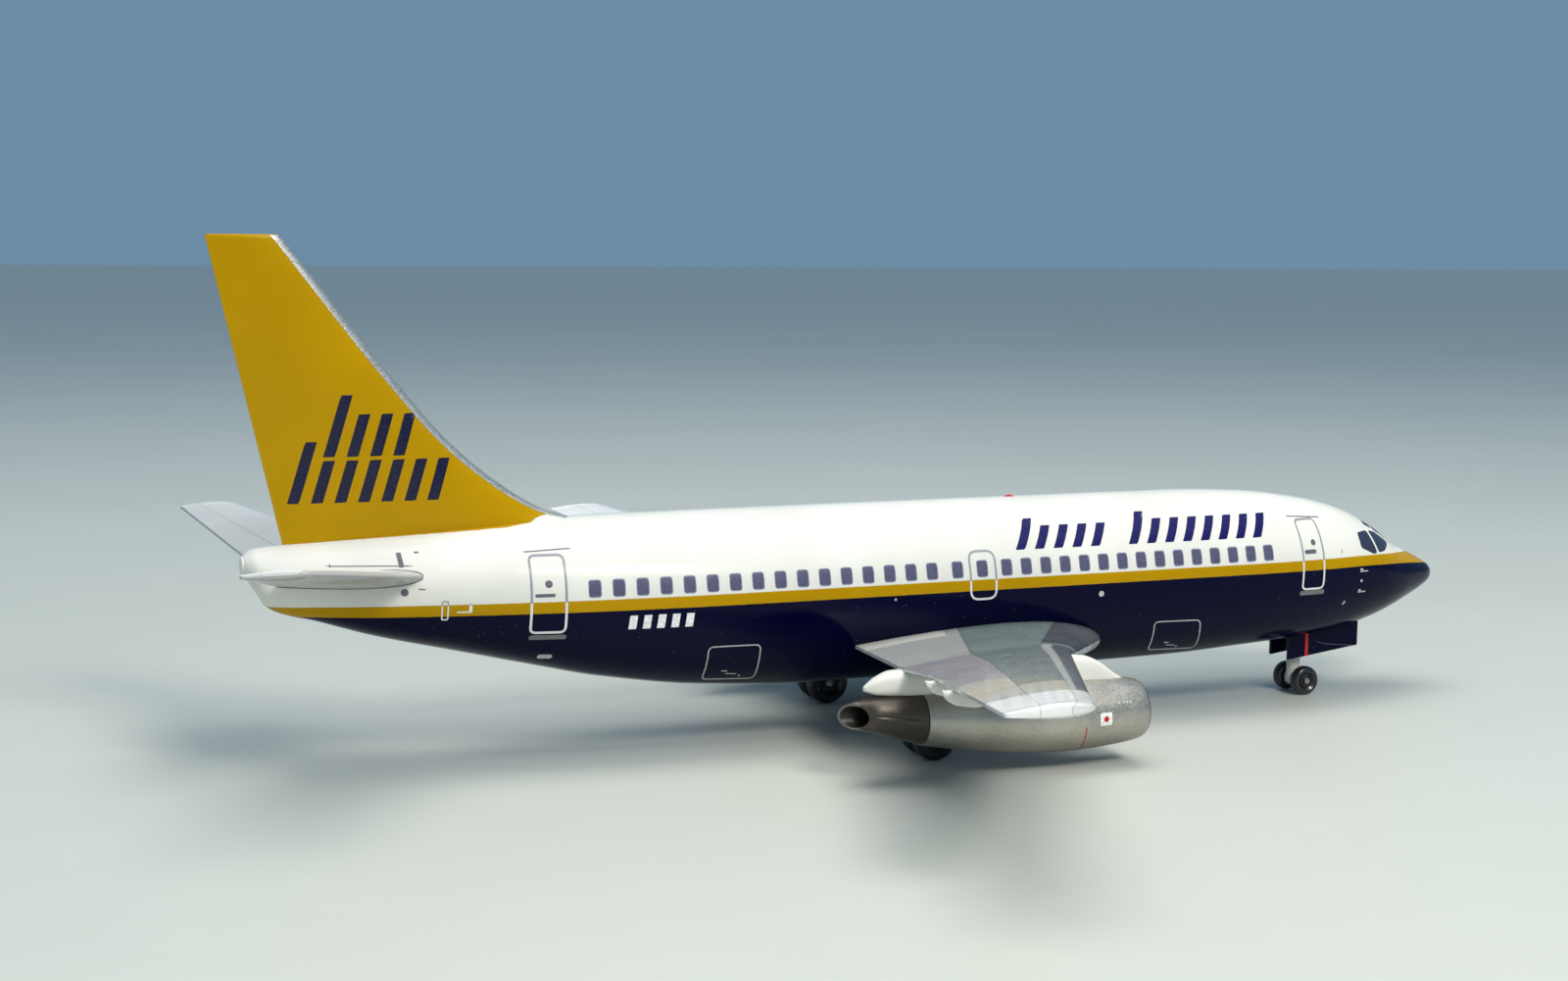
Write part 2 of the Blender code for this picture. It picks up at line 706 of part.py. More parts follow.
def door_plate(side, grow=0.0):
    """An upright plate whose upper edge follows the belly and whose tab enters the hull."""
    inner = DOOR_Y - DOOR_THICKNESS / 2 - grow
    outer = DOOR_Y + DOOR_THICKNESS / 2 + grow
    stations = np.linspace(DOOR_FRONT - grow, DOOR_REAR + grow, 7)
    rings = []
    for station in stations:
        share = (station - DOOR_FRONT) / (DOOR_REAR - DOOR_FRONT)
        foot = DOOR_FRONT_FOOT + share * (DOOR_REAR_FOOT - DOOR_FRONT_FOOT) - grow
        top = hull_belly(station, DOOR_Y) + DOOR_TAB + grow
        corners = [(inner, foot), (outer, foot), (outer, top), (inner, top)]
        rings.append([(along_x(station), side * y, z) for y, z in corners])
    return skin(rings)


# ---------------------------------------------------------------- the model


def build_airframe():
    white = paint("white_enamel", (0.86, 0.86, 0.83), 0.18)
    silver = paint("silver_lacquer", (0.55, 0.54, 0.50), 0.35, 0.8)
    bronze = paint("dark_bronze", (0.16, 0.14, 0.12), 0.4, 0.8)
    grey = paint("wing_grey", (0.45, 0.49, 0.48), 0.3)
    leg_paint = paint("leg_grey", (0.62, 0.6, 0.55), 0.4)
    navy = paint("navy_enamel", (0.01, 0.01, 0.06), 0.18)
    airframe = body_empty("airframe", (0.0, 0.0, 0.0))

    hull = piece("fuselage_and_fin", hull_shape(), white, parent=airframe)
    combine(hull, fin_shape(), "UNION")

    nose_z = NOSE_WHEEL_DIAMETER / 2
    nose_axle = (float(along_x(NOSE_GEAR_STATION)), 0.0, nose_z)
    nose_post_x = nose_axle[0] - NOSE_LEG_AFT
    nose_top = hull_belly(NOSE_GEAR_STATION, 0.0) + NOSE_LEG_SOCKET
    combine(hull, post(nose_post_x, 0.0, 0.0, nose_top + FIT_GAP, NOSE_LEG_RADIUS + FIT_GAP), "DIFFERENCE")
    housing = (NOSE_HOUSING_RADIUS, NOSE_WHEEL_Y - NOSE_TYRE_WIDTH / 2 - PANEL_GAP)
    leg("nose_gear_leg", nose_axle, nose_post_x, nose_top, NOSE_LEG_RADIUS, housing, NOSE_AXLE_RADIUS,
        leg_paint, airframe)

    for label, side in (("left", 1), ("right", -1)):
        root_y, root_front, _, root_height, *_ = WING_SECTIONS[0]
        wing_place = (along_x(root_front), side * root_y, root_height)
        wing = piece("wing_" + label, wing_shape(side), grey, wing_place, airframe)
        for y in TRACK_FAIRING_Y:
            combine(wing, track_fairing_shape(side, y), "UNION")
        combine(hull, wing_shape(side, FIT_GAP), "DIFFERENCE")

        tail_place = (along_x(TAILPLANE_ROOT[0]), side * TAILPLANE_ROOT_Y, TAILPLANE_ROOT[2])
        spans = [TAILPLANE_TENON_END, TAILPLANE_ROOT_Y, TAILPLANE_SPAN / 4, TAILPLANE_SPAN / 2]
        tail = piece("tailplane_" + label, lifting_surface(tailplane_section, spans, side,
                     TAILPLANE_TIP_ROUND), white, tail_place, airframe)
        spans[0] -= FIT_GAP
        socket = lifting_surface(tailplane_section, spans, side, TAILPLANE_TIP_ROUND, FIT_GAP)
        combine(hull, socket, "DIFFERENCE")

        door_place = (along_x(DOOR_FRONT), side * DOOR_Y, DOOR_FRONT_FOOT)
        piece("nose_gear_door_" + label, door_plate(side), navy, door_place, airframe)
        combine(hull, door_plate(side, FIT_GAP), "DIFFERENCE")

        pod_place = (along_x(COWL_FRONT), side * ENGINE_Y, COWL_SHAPE[0][1])
        peg_x = float(along_x(PEG_STATION))
        peg_y = side * ENGINE_Y
        cowl_top = COWL_HEIGHT(PEG_STATION) + COWL_RADIUS(PEG_STATION)
        cowl = piece("engine_cowl_" + label, cowl_shape(side), silver, pod_place, airframe)
        peg_foot, peg_top = cowl_top - PEG_RADIUS, cowl_top + PEG_DEPTH / 2
        combine(cowl, post(peg_x, peg_y, peg_foot, peg_top, PEG_RADIUS), "UNION")
        fan = piece("engine_fan_" + label, fan_shape(side), bronze, pod_place, airframe)
        sleeve_place = (along_x(COWL_REAR), side * ENGINE_Y, COWL_SHAPE[-1][1])
        sleeve = piece("exhaust_sleeve_" + label, sleeve_shape(side), bronze, sleeve_place, airframe)

        pylon_place = (along_x(PYLON_SHAPE[0][0]), side * ENGINE_Y, PYLON_SHAPE[0][2])
        pylon = piece("engine_pylon_" + label, pylon_shape(side), white, pylon_place, airframe)
        combine(pylon, wing_shape(side, FIT_GAP), "DIFFERENCE")
        combine(pylon, pod_outer(side, FIT_GAP), "DIFFERENCE")
        peg_socket = post(peg_x, peg_y, peg_foot, peg_top + FIT_GAP, PEG_RADIUS + FIT_GAP)
        combine(pylon, peg_socket, "DIFFERENCE")

        middle = (float(along_x(MAIN_GEAR_STATION)), side * MAIN_GEAR_Y, MAIN_WHEEL_DIAMETER / 2)
        leg_top = wing_underside(MAIN_GEAR_STATION, MAIN_GEAR_Y) + MAIN_LEG_SOCKET
        half = MAIN_WHEEL_PITCH / 2 - MAIN_TYRE_WIDTH / 2 - PANEL_GAP
        leg("main_gear_leg_" + label, middle, middle[0], leg_top, MAIN_LEG_RADIUS,
            (MAIN_HOUSING_RADIUS, half), MAIN_AXLE_RADIUS, leg_paint, airframe)
        socket = post(middle[0], middle[1], middle[2], leg_top + FIT_GAP, MAIN_LEG_RADIUS + FIT_GAP)
        combine(wing, socket, "DIFFERENCE")
        for made in (wing, tail, cowl, fan, sleeve, pylon):
            smooth(made)
    smooth(hull)


def build_wheels():
    rubber = paint("tyre_rubber", (0.01, 0.01, 0.012), 0.25)
    hub_paint = paint("hub_grey", (0.05, 0.05, 0.05), 0.3)
    steel = paint("axle_steel", (0.45, 0.45, 0.45), 0.3, 1.0)
    materials = (rubber, hub_paint, steel)
    nose = (float(along_x(NOSE_GEAR_STATION)), 0.0, NOSE_WHEEL_DIAMETER / 2)
    nose_sizes = (NOSE_WHEEL_DIAMETER, NOSE_TYRE_WIDTH, NOSE_RIM_RADIUS, NOSE_AXLE_RADIUS)
    main_sizes = (MAIN_WHEEL_DIAMETER, MAIN_TYRE_WIDTH, MAIN_RIM_RADIUS, MAIN_AXLE_RADIUS)
    wheelset("nose", nose, NOSE_WHEEL_Y, nose_sizes, ("left", "right"), materials)
    for label, side, ends in (("left", 1, ("outer", "inner")), ("right", -1, ("inner", "outer"))):
        middle = (float(along_x(MAIN_GEAR_STATION)), side * MAIN_GEAR_Y, MAIN_WHEEL_DIAMETER / 2)
        wheelset("main_" + label, middle, MAIN_WHEEL_PITCH / 2, main_sizes, ends, materials)


clear_scene()
build_airframe()
build_wheels()
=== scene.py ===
# %% [markdown]
# # A die-cast airliner for the desk
# This lesson dresses a small metal airliner, 76.5 mm long. Its measured parts come from the packed
# model and say where everything is. Each cell makes one piece or one finish of the real toy.

# %% Load the measured model
import math

import bmesh
import bpy
import numpy as np
from mathutils import Matrix, Vector


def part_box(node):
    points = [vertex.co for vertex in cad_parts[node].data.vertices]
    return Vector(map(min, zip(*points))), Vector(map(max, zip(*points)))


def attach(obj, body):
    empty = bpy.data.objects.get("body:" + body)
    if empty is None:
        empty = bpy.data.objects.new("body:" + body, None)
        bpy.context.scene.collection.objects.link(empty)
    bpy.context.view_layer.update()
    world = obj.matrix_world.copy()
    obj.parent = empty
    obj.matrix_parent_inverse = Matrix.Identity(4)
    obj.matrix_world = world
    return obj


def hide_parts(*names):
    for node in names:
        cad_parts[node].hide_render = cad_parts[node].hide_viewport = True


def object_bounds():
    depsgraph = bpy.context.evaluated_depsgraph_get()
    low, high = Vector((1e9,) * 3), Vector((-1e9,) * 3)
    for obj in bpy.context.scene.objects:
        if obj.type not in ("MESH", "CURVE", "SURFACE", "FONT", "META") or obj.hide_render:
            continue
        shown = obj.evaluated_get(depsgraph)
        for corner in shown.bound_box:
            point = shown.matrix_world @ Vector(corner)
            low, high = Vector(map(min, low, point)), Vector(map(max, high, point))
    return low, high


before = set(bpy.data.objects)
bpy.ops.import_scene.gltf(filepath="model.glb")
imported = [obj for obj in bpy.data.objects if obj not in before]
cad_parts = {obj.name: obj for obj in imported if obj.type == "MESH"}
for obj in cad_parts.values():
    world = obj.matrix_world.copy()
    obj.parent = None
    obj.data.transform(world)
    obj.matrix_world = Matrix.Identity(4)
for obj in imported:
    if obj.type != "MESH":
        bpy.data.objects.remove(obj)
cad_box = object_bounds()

MM = 0.001
SIDES = (1, -1)
LENGTH, SPAN, HEIGHT = [(high - low) / MM for low, high in zip(*cad_box)]
NOSE_X = cad_box[1].x / MM
print("the model is", round(LENGTH, 2), "x", round(SPAN, 2), "x", round(HEIGHT, 2), "mm")

# %% [markdown]
# ## Small tools
# A maker's drawing gives a few sizes along a part, and a smooth curve runs through them. The curve
# must not swing past its points, or a straight roof would turn wavy, so its slope at each point is
# the weighted harmonic mean of the slopes on both sides, and zero where they point different ways.

# %% Smooth curves through a few sizes


def along_x(station):
    """X in millimetres of a station, which is a distance aft of the nose tip."""
    return NOSE_X - np.asarray(station, float)


def smooth_through(places, values):
    """A cubic between each two points, with slopes that never let it overshoot."""
    places, values = np.asarray(places, float), np.asarray(values, float)
    gaps = np.diff(places)
    slopes = np.diff(values) / gaps
    near, far = 2 * gaps[1:] + gaps[:-1], gaps[1:] + 2 * gaps[:-1]
    same_way = slopes[:-1] * slopes[1:] > 0
    safe = np.where(same_way, slopes[:-1], 1), np.where(same_way, slopes[1:], 1)
    middle = np.where(same_way, (near + far) / (near / safe[0] + far / safe[1]), 0)
    tangents = np.concatenate([slopes[:1], middle, slopes[-1:]])

    def curve(place):
        place = np.clip(place, places[0], places[-1])
        i = np.clip(np.searchsorted(places, place) - 1, 0, len(gaps) - 1)
        t = (place - places[i]) / gaps[i]
        ends = values[i] * (1 + 2 * t) * (1 - t) ** 2 + values[i + 1] * t**2 * (3 - 2 * t)
        return ends + gaps[i] * (tangents[i] * t * (1 - t) ** 2 + tangents[i + 1] * t**2 * (t - 1))

    return curve


def smooth_columns(table):
    """One smooth curve for each column after the first, which holds the places."""
    columns = np.array(table, float).T
    return [smooth_through(columns[0], column) for column in columns[1:]]


# %% [markdown]
# Every surface here is a grid of points, so many rows of so many columns. A grid may be closed
# round its columns like a tube, round its rows like a hoop, and its end rows may be gathered into
# a middle point, so that the skin has no hole.

# %% Grids become meshes


def points_at(x, y, z):
    """Points from three grids or numbers, each stretched to one common shape."""
    return np.stack(np.broadcast_arrays(x, y, z), -1)


def round_turns(count):
    """Angles of evenly spaced points once round a circle."""
    return np.arange(count) * 2 * math.pi / count


def grid_faces(rows, columns, tube=False, hoop=False):
    """Four-cornered faces between neighbouring rows and columns of a grid."""
    row = np.arange(rows if hoop else rows - 1)[:, None]
    column = np.arange(columns if tube else columns - 1)[None, :]
    next_row, next_column = (row + 1) % rows, (column + 1) % columns
    corners = [row * columns + column, row * columns + next_column]
    corners += [next_row * columns + next_column, next_row * columns + column]
    return np.stack(np.broadcast_arrays(*corners), -1).reshape(-1, 4).tolist()


def closed_tube(grid):
    """Points and faces of a tube whose two ends are gathered into their middles."""
    rows, columns = grid.shape[:2]
    faces = grid_faces(rows, columns, tube=True)
    first = np.arange(columns)
    for middle, base in ((rows * columns, 0), (rows * columns + 1, (rows - 1) * columns)):
        fan = np.stack([np.full(columns, middle), base + first, base + (first + 1) % columns], -1)
        faces += fan.tolist()
    points = np.concatenate([grid.reshape(-1, 3), grid[:1].mean(1), grid[-1:].mean(1)])
    return points, faces


def hoop_of(grid):
    """Points and faces of a ring-shaped body, closed both ways."""
    return grid.reshape(-1, 3), grid_faces(*grid.shape[:2], tube=True, hoop=True)


def together(*shapes):
    """Several shapes as the points and faces of one."""
    points, faces, count = [], [], 0
    for more_points, more_faces in shapes:
        points.append(more_points)
        faces += [[i + count for i in face] for face in more_faces]
        count += len(more_points)
    return np.concatenate(points), faces


def lay_mesh(name, shape, closed=True):
    """An object from points in millimetres and faces; a closed skin is turned to face outwards."""
    points, faces = shape
    mesh = bpy.data.meshes.new(name)
    mesh.from_pydata((points * MM).tolist(), [], faces)
    if closed:
        work = bmesh.new()
        work.from_mesh(mesh)
        bmesh.ops.remove_doubles(work, verts=work.verts, dist=1e-8)
        bmesh.ops.recalc_face_normals(work, faces=work.faces)
        work.to_mesh(mesh)
        work.free()
    made = bpy.data.objects.new(name, mesh)
    bpy.context.scene.collection.objects.link(made)
    return made


def place_piece(made, body, finish, slot=None, nodes=(), sharp=32):
    """Give a piece its finish and smooth shading, and let it ride on its body."""
    made.data.materials.clear()
    made.data.materials.append(finish)
    made.data.shade_smooth()
    made.data.set_sharp_from_angle(angle=math.radians(sharp))
    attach(made, body)
    if nodes:
        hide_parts(*nodes)
    print(made.name, len(made.data.polygons), "faces")
    return made


def cut(target, shape, operation):
    """Join a shape to a piece, or take it away, and keep only the resulting skin."""
    tool = lay_mesh("tool", shape)
    step = target.modifiers.new(operation, "BOOLEAN")
    step.operation, step.solver, step.object = operation, "EXACT", tool
    graph = bpy.context.evaluated_depsgraph_get()
    result = bpy.data.meshes.new_from_object(target.evaluated_get(graph))
    target.modifiers.clear()
    target.data = result
    bpy.data.objects.remove(tool)


# %% [markdown]
# ## Paint in nodes
# A finish is a small sum: this colour where a mask is one, that colour where it is zero. Written
# with Python's own signs it reads like the sum, so one class wraps a node's output and lets + - *
# and / add the nodes. Distances inside a finish are in millimetres, as on the drawing.

# %% Sums on sockets


class Strand:
    """A value on its way through a finish; sums with it add Math nodes."""

    def __init__(self, finish, socket):
        self.finish, self.socket = finish, socket

    def sum(self, operation, *values, clamp=False):
        settings = {"operation": operation, "use_clamp": clamp}
        return self.finish.add("ShaderNodeMath", settings, dict(enumerate(values)))

    def __add__(self, other):
        return self.sum("ADD", self, other)

    def __sub__(self, other):
        return self.sum("SUBTRACT", self, other)

    def __rsub__(self, other):
        return self.sum("SUBTRACT", other, self)

    def __mul__(self, other):
        return self.sum("MULTIPLY", self, other)

    def __truediv__(self, other):
        return self.sum("DIVIDE", self, other)

    def __abs__(self):
        return self.sum("ABSOLUTE", self)

    __radd__, __rmul__ = __add__, __mul__

    def at_least(self, floor):
        return self.sum("MAXIMUM", self, floor)

    def at_most(self, ceiling):
        return self.sum("MINIMUM", self, ceiling)

    def over(self, edge, soft=0.02):
        """One where the value is past an edge, zero before it, with a narrow ramp between."""
        return self.sum("MULTIPLY_ADD", self - edge, 1 / soft, 0.5, clamp=True)

    def under(self, edge, soft=0.02):
        return 1 - self.over(edge, soft)


class Finish:
    """A material whose pattern is laid on the piece's own coordinates."""

    def __init__(self, name, roughness, metallic=0.0, coat=0.0, specular=0.5):
        self.material = bpy.data.materials.new(name)
        self.material.use_nodes = True
        self.tree = self.material.node_tree
        self.shader = self.tree.nodes["Principled BSDF"]
        self.say(Roughness=roughness, Metallic=metallic, Coat_Weight=coat, Coat_Roughness=0.05)
        self.say(Specular_IOR_Level=specular)
        coordinates = self.add("ShaderNodeTexCoord", {}, {}, "Object")
        self.place = self.add("ShaderNodeVectorMath", {"operation": "SCALE"}, {0: coordinates, 3: 1 / MM})
        self.x = self.add("ShaderNodeSeparateXYZ", {}, {0: self.place})
        self.y, self.z = self.sibling(self.x, 1), self.sibling(self.x, 2)
        self.station = NOSE_X - self.x

    def plug(self, socket, value):
        if isinstance(value, Strand):
            self.tree.links.new(value.socket, socket)
        else:
            socket.default_value = value

    def add(self, kind, settings, inputs, output=0):
        """Any node: its type, its settings, what goes into its sockets, and the output wanted."""
        node = self.tree.nodes.new(kind)
        for setting, value in settings.items():
            setattr(node, setting, value)
        for key, value in inputs.items():
            self.plug(node.inputs[key], value)
        return Strand(self, node.outputs[output])

    def sibling(self, strand, output):
        """Another output of the node that a value comes from."""
        return Strand(self, strand.socket.node.outputs[output])

    def say(self, **sockets):
        """Set or feed the shader's sockets."""
        for name, value in sockets.items():
            self.plug(self.shader.inputs[name.replace("_", " ")], value)

    def own(self, name):
        """A value stored on the piece's points."""
        return self.add("ShaderNodeAttribute", {"attribute_name": name}, {}, "Fac")

    def blend(self, share, first, second):
        """The first colour where share is zero, the second where it is one."""
        colours = [c if isinstance(c, Strand) else (*c, 1.0) for c in (first, second)]
        mixed = {0: share, 6: colours[0], 7: colours[1]}
        return self.add("ShaderNodeMix", {"data_type": "RGBA"}, mixed, 2)

    def mottle(self, size, detail=2.0, stretch=(1, 1, 1)):
        """Soft noise about one half, whose blotches are about size millimetres across."""
        vector = self.add("ShaderNodeVectorMath", {"operation": "MULTIPLY"}, {0: self.place, 1: stretch})
        inputs = {"Vector": vector, "Scale": 1 / size, "Detail": detail}
        return self.add("ShaderNodeTexNoise", {}, inputs)

    def grains(self, size):
        """A random number for each small cell about size millimetres across."""
        cells = self.add("ShaderNodeTexVoronoi", {}, {"Vector": self.place, "Scale": 1 / size}, "Color")
        return self.add("ShaderNodeSeparateColor", {}, {0: cells})

    def specks(self, size, share):
        """One in a small dot in a few of the cells: dust, pinholes or spatter."""
        inputs = {"Vector": self.place, "Scale": 0.25 / size}
        cells = self.add("ShaderNodeTexVoronoi", {}, inputs, "Color")
        chosen = self.add("ShaderNodeSeparateColor", {}, {0: cells})
        return self.sibling(cells, "Distance").under(0.13, 0.06) * chosen.under(share, 0.001)

    def relief(self, height):
        """Bump the surface by a height in millimetres."""
        inputs = {"Height": height, "Distance": MM, "Strength": 1.0}
        self.say(Normal=self.add("ShaderNodeBump", {}, inputs))


# %% [markdown]
# Glossy enamel on a small casting is never quite flat. It dries with a faint orange peel about
# half a millimetre across, it thins a little over the metal, and it catches dust. The same three
# touches go on every painted piece, over whatever colours that piece has.

# %% Enamel

WHITE = (0.70, 0.69, 0.637)
NAVY = (0.0010, 0.0012, 0.019)
GOLD = (0.43, 0.24, 0.001)
SILVER = (0.52, 0.51, 0.47)
DUST = (0.12, 0.11, 0.1)
ENAMEL_GLOSS = 0.08


def enamel_coat(finish, colour, roughness=0.16, peel=0.0016):
    """Colour with cloudy thickness, dust specks, wiped patches in the gloss, and orange peel."""
    cloud = finish.mottle(6.0)
    dust = finish.specks(0.05, 0.05)
    thin = finish.add("ShaderNodeHueSaturation", {}, {"Color": colour, "Value": 0.84 + cloud * 0.28})
    finish.say(Base_Color=finish.blend(dust * 0.22, thin, (0.5, 0.49, 0.46)))
    finish.say(Roughness=(finish.mottle(2.5, 4.0) - 0.5) * 0.16 + roughness + dust * 0.3)
    peeled = finish.mottle(0.55) * peel + finish.mottle(0.14) * (peel * 0.18)
    finish.relief(peeled + dust * 0.004)
    return finish.material


def plain_enamel(name, colour, roughness=0.16):
    return enamel_coat(Finish(name, roughness, specular=ENAMEL_GLOSS), (*colour, 1.0), roughness)


white_paint = plain_enamel("white_enamel", WHITE)
navy_paint = plain_enamel("navy_enamel", NAVY)
gear_paint = plain_enamel("gear_enamel", (0.60, 0.585, 0.53), 0.28)

# %% [markdown]
# The hull wears its livery: white above, a gold line along its side and navy below, and a gold fin.
# The colours meet on level lines, so a mask on height is nearly all that they need; at the nose the
# lines sink by a parabola, which keeps them straight to the eye. Ink bleeds a little at a mask's
# edge, so a fine noise moves each edge by a few hundredths of a millimetre.

# %% Livery

CHEATLINE_TOP, CHEATLINE_FOOT = 9.12, 8.50
DROP_START, NOSE_DROP = 9.0, 0.009
FIN_PAINT_FOOT, FIN_PAINT_SLOPE, FIN_PAINT_REAR = 12.22, 0.0472, 72.6
FIN_PAINT_FRONT, FIN_PAINT_FLARE, FIN_PAINT_HALF_WIDTH = 57.6, 0.3, 1.05


def livery_finish():
    finish = Finish("livery_enamel", 0.16, specular=ENAMEL_GLOSS)
    bleed = (finish.mottle(0.3) - 0.5) * 0.035
    ahead = (DROP_START - finish.station).at_least(0.0)
    height = finish.z + bleed + ahead * ahead * NOSE_DROP
    aft = finish.station - FIN_PAINT_FRONT
    flare = (aft * FIN_PAINT_FLARE).at_most(FIN_PAINT_HALF_WIDTH)
    on_fin = (height - (FIN_PAINT_REAR - finish.station) * FIN_PAINT_SLOPE).over(FIN_PAINT_FOOT)
    on_fin = on_fin * aft.over(0.0) * (abs(finish.y) - flare).under(0.0)
    lower = finish.blend(height.over(CHEATLINE_FOOT), NAVY, GOLD)
    sides = finish.blend(height.over(CHEATLINE_TOP), lower, WHITE)
    return enamel_coat(finish, finish.blend(on_fin, sides, GOLD))


livery = livery_finish()

# %% [markdown]
# ## Hull and fin
# The real hull is one zinc casting with the fin standing on it. Level and upright curves give its
# crown, keel and half width at every station. A cross-section is half an ellipse above its widest
# line and another below. Near a round nose those curves rise like a square root, so they are kept
# over the root of the station, where they are nearly straight.

# %% Hull curves

HULL_HEIGHT, HULL_WIDTH, KEEL_HEIGHT, WIDEST_SHARE = 10.15, 9.4, 3.05, 0.53
NOSE_LENGTH, TAIL_LENGTH, TAIL_CONE_INSET = 20.0, 30.85, 1.65
STERN_ROUND, STERN_SHRINK = 0.1, 0.12
HULL_LENGTH = LENGTH - TAIL_CONE_INSET
TAIL_START = HULL_LENGTH - TAIL_LENGTH
NOSE_SHAPE = (
    (0.000, 0.403, 0.403, 0.000),
    (0.015, 0.460, 0.352, 0.112),
    (0.060, 0.512, 0.308, 0.256),
    (0.125, 0.572, 0.254, 0.412),
    (0.200, 0.642, 0.196, 0.572),
    (0.275, 0.751, 0.144, 0.698),
    (0.400, 0.866, 0.090, 0.834),
    (0.550, 0.935, 0.055, 0.932),
    (0.750, 0.982, 0.031, 0.989),
    (1.000, 1.000, 0.007, 1.000),
    (1.300, 1.000, 0.000, 1.000),
)
TAIL_SHAPE = (
    (0.000, 0.998, 0.000, 1.000),
    (0.194, 0.996, 0.033, 0.987),
    (0.389, 0.992, 0.119, 0.926),
    (0.519, 0.976, 0.212, 0.840),
    (0.648, 0.954, 0.308, 0.723),
    (0.778, 0.930, 0.405, 0.579),
    (0.875, 0.912, 0.498, 0.447),
    (0.958, 0.896, 0.581, 0.330),
    (0.984, 0.886, 0.700, 0.245),
    (1.000, 0.845, 0.775, 0.106),
)


def hull_curves():
    """Crown, keel and half width as curves over the root of the station."""
    rows = [(share * NOSE_LENGTH, *rest) for share, *rest in NOSE_SHAPE]
    rows += [(TAIL_START + share * TAIL_LENGTH, *rest) for share, *rest in TAIL_SHAPE]
    table = np.array(rows)
    table[:, 0] = np.sqrt(table[:, 0])
    table[:, 1:3] = KEEL_HEIGHT + HULL_HEIGHT * table[:, 1:3]
    table[:, 3] *= HULL_WIDTH / 2
    return smooth_columns(table)


HULL_CROWN, HULL_KEEL, HULL_HALF_WIDTH = hull_curves()


def hull_heights(station):
    """Crown, widest line and keel heights at a station."""
    root = np.sqrt(np.maximum(station, 0))
    crown, keel = HULL_CROWN(root), HULL_KEEL(root)
    return crown, keel + WIDEST_SHARE * (crown - keel), keel


def on_hull(station, turn):
    """Skin point at a station: half width times cosine, and rise above or drop below times sine."""
    station, turn = np.broadcast_arrays(np.asarray(station, float), np.asarray(turn, float))
    crown, middle, keel = hull_heights(station)
    rise = np.where(np.sin(turn) > 0, crown - middle, middle - keel)
    y = HULL_HALF_WIDTH(np.sqrt(np.maximum(station, 0))) * np.cos(turn)
    return np.stack([along_x(station), y, middle + rise * np.sin(turn)], -1)


def turn_at_height(station, height):
    """Angle round the hull at which its right-hand skin is at a height."""
    crown, middle, keel = hull_heights(station)
    rise = np.where(height > middle, crown - middle, middle - keel)
    return np.arcsin(np.clip((height - middle) / rise, -1, 1))


def hull_shape():
    """Rows at root-spaced stations on the nose, then even ones, and a small rounded stern edge."""
    nose = NOSE_LENGTH * np.linspace(0.006, 1, 100) ** 2
    body = np.linspace(NOSE_LENGTH, HULL_LENGTH - STERN_ROUND, 160)[1:]
    rows = on_hull(np.concatenate([nose, body])[:, None], round_turns(128)[None, :])
    edge = np.linspace(0, math.pi / 2, 6)[1:, None, None]
    last, centre = rows[-1:], rows[-1:].mean(1, keepdims=True)
    stern = centre + (last - centre) * (1 - STERN_SHRINK * (1 - np.cos(edge)))
    stern = stern - np.array([STERN_ROUND, 0, 0]) * np.sin(edge)
    return closed_tube(np.concatenate([rows, stern]))


# %% [markdown]
# A wing, tailplane or fin is a row of aerofoil sections. The classic four-digit thickness curve
# gives each one, with a blunt trailing edge as thick as a casting needs.

# %% Aerofoil sections

TRAILING_EDGE = 0.14


def thickness_curve(share):
    """Half thickness at a share of the chord, for a thickness of one."""
    near_nose = 0.2969 * np.sqrt(share) - 0.126 * share - 0.3516 * share**2
    return 5 * (near_nose + 0.2843 * share**3 - 0.1015 * share**4)


def aerofoil(steps=34):
    """Chord share, thickness curve, and 1 above or -1 below, round from trailing edge to leading."""
    share = (1 - np.cos(np.linspace(0, math.pi, steps))) / 2
    curve = thickness_curve(share)
    share = np.concatenate([share[::-1], share[1:]])
    curve = np.concatenate([curve[::-1], -curve[1:]])
    way = np.concatenate([np.ones(steps), -np.ones(steps - 1)])
    way[steps - 1] = 0
    return share, curve, way


def half_thickness(curve, share, way, thickness):
    """The curve times the thickness, plus half a trailing edge that grows with the chord share."""
    return curve * thickness + way * share * TRAILING_EDGE / 2


FIN_TIP_LEADING, FIN_TIP_TRAILING = 72.55, 76.25
FIN_ROOT_TRAILING, FIN_ROOT_HEIGHT = 72.5, 11.3
FIN_THICKNESS = (1.35, 0.6)
FIN_TOP_ROUND = 0.22
FIN_LEADING_EDGE = (
    (12.8, 55.6),
    (12.98, 56.9),
    (13.3, 58.2),
    (13.9, 59.5),
    (15.0, 61.2),
    (17.3, 63.9),
    (20.0, 66.25),
    (HEIGHT, FIN_TIP_LEADING),
)
fin_leading = smooth_through(*zip(*FIN_LEADING_EDGE))


def fin_section(height):
    """Leading edge from its curve, straight trailing edge, and a thickness that tapers."""
    climb = (height - FIN_ROOT_HEIGHT) / (HEIGHT - FIN_ROOT_HEIGHT)
    back = FIN_ROOT_TRAILING + climb * (FIN_TIP_TRAILING - FIN_ROOT_TRAILING)
    thickness = FIN_THICKNESS[0] + climb * (FIN_THICKNESS[1] - FIN_THICKNESS[0])
    return fin_leading(height), back, thickness


def fin_rows(height, share, curve, way):
    """Level sections, trimmed along a quarter circle where they near the top."""
    front, back, thickness = fin_section(height)
    near_top = np.clip((height - HEIGHT + FIN_TOP_ROUND) / FIN_TOP_ROUND, 0, 1)
    trim = 1 - np.sqrt(1 - near_top**2)
    front, back, thickness = front + 0.2 * trim, back - 0.1 * trim, thickness * (1 - 0.55 * trim)
    y = half_thickness(curve, share, way, thickness)
    return points_at(along_x(front + share * (back - front)), y, height)


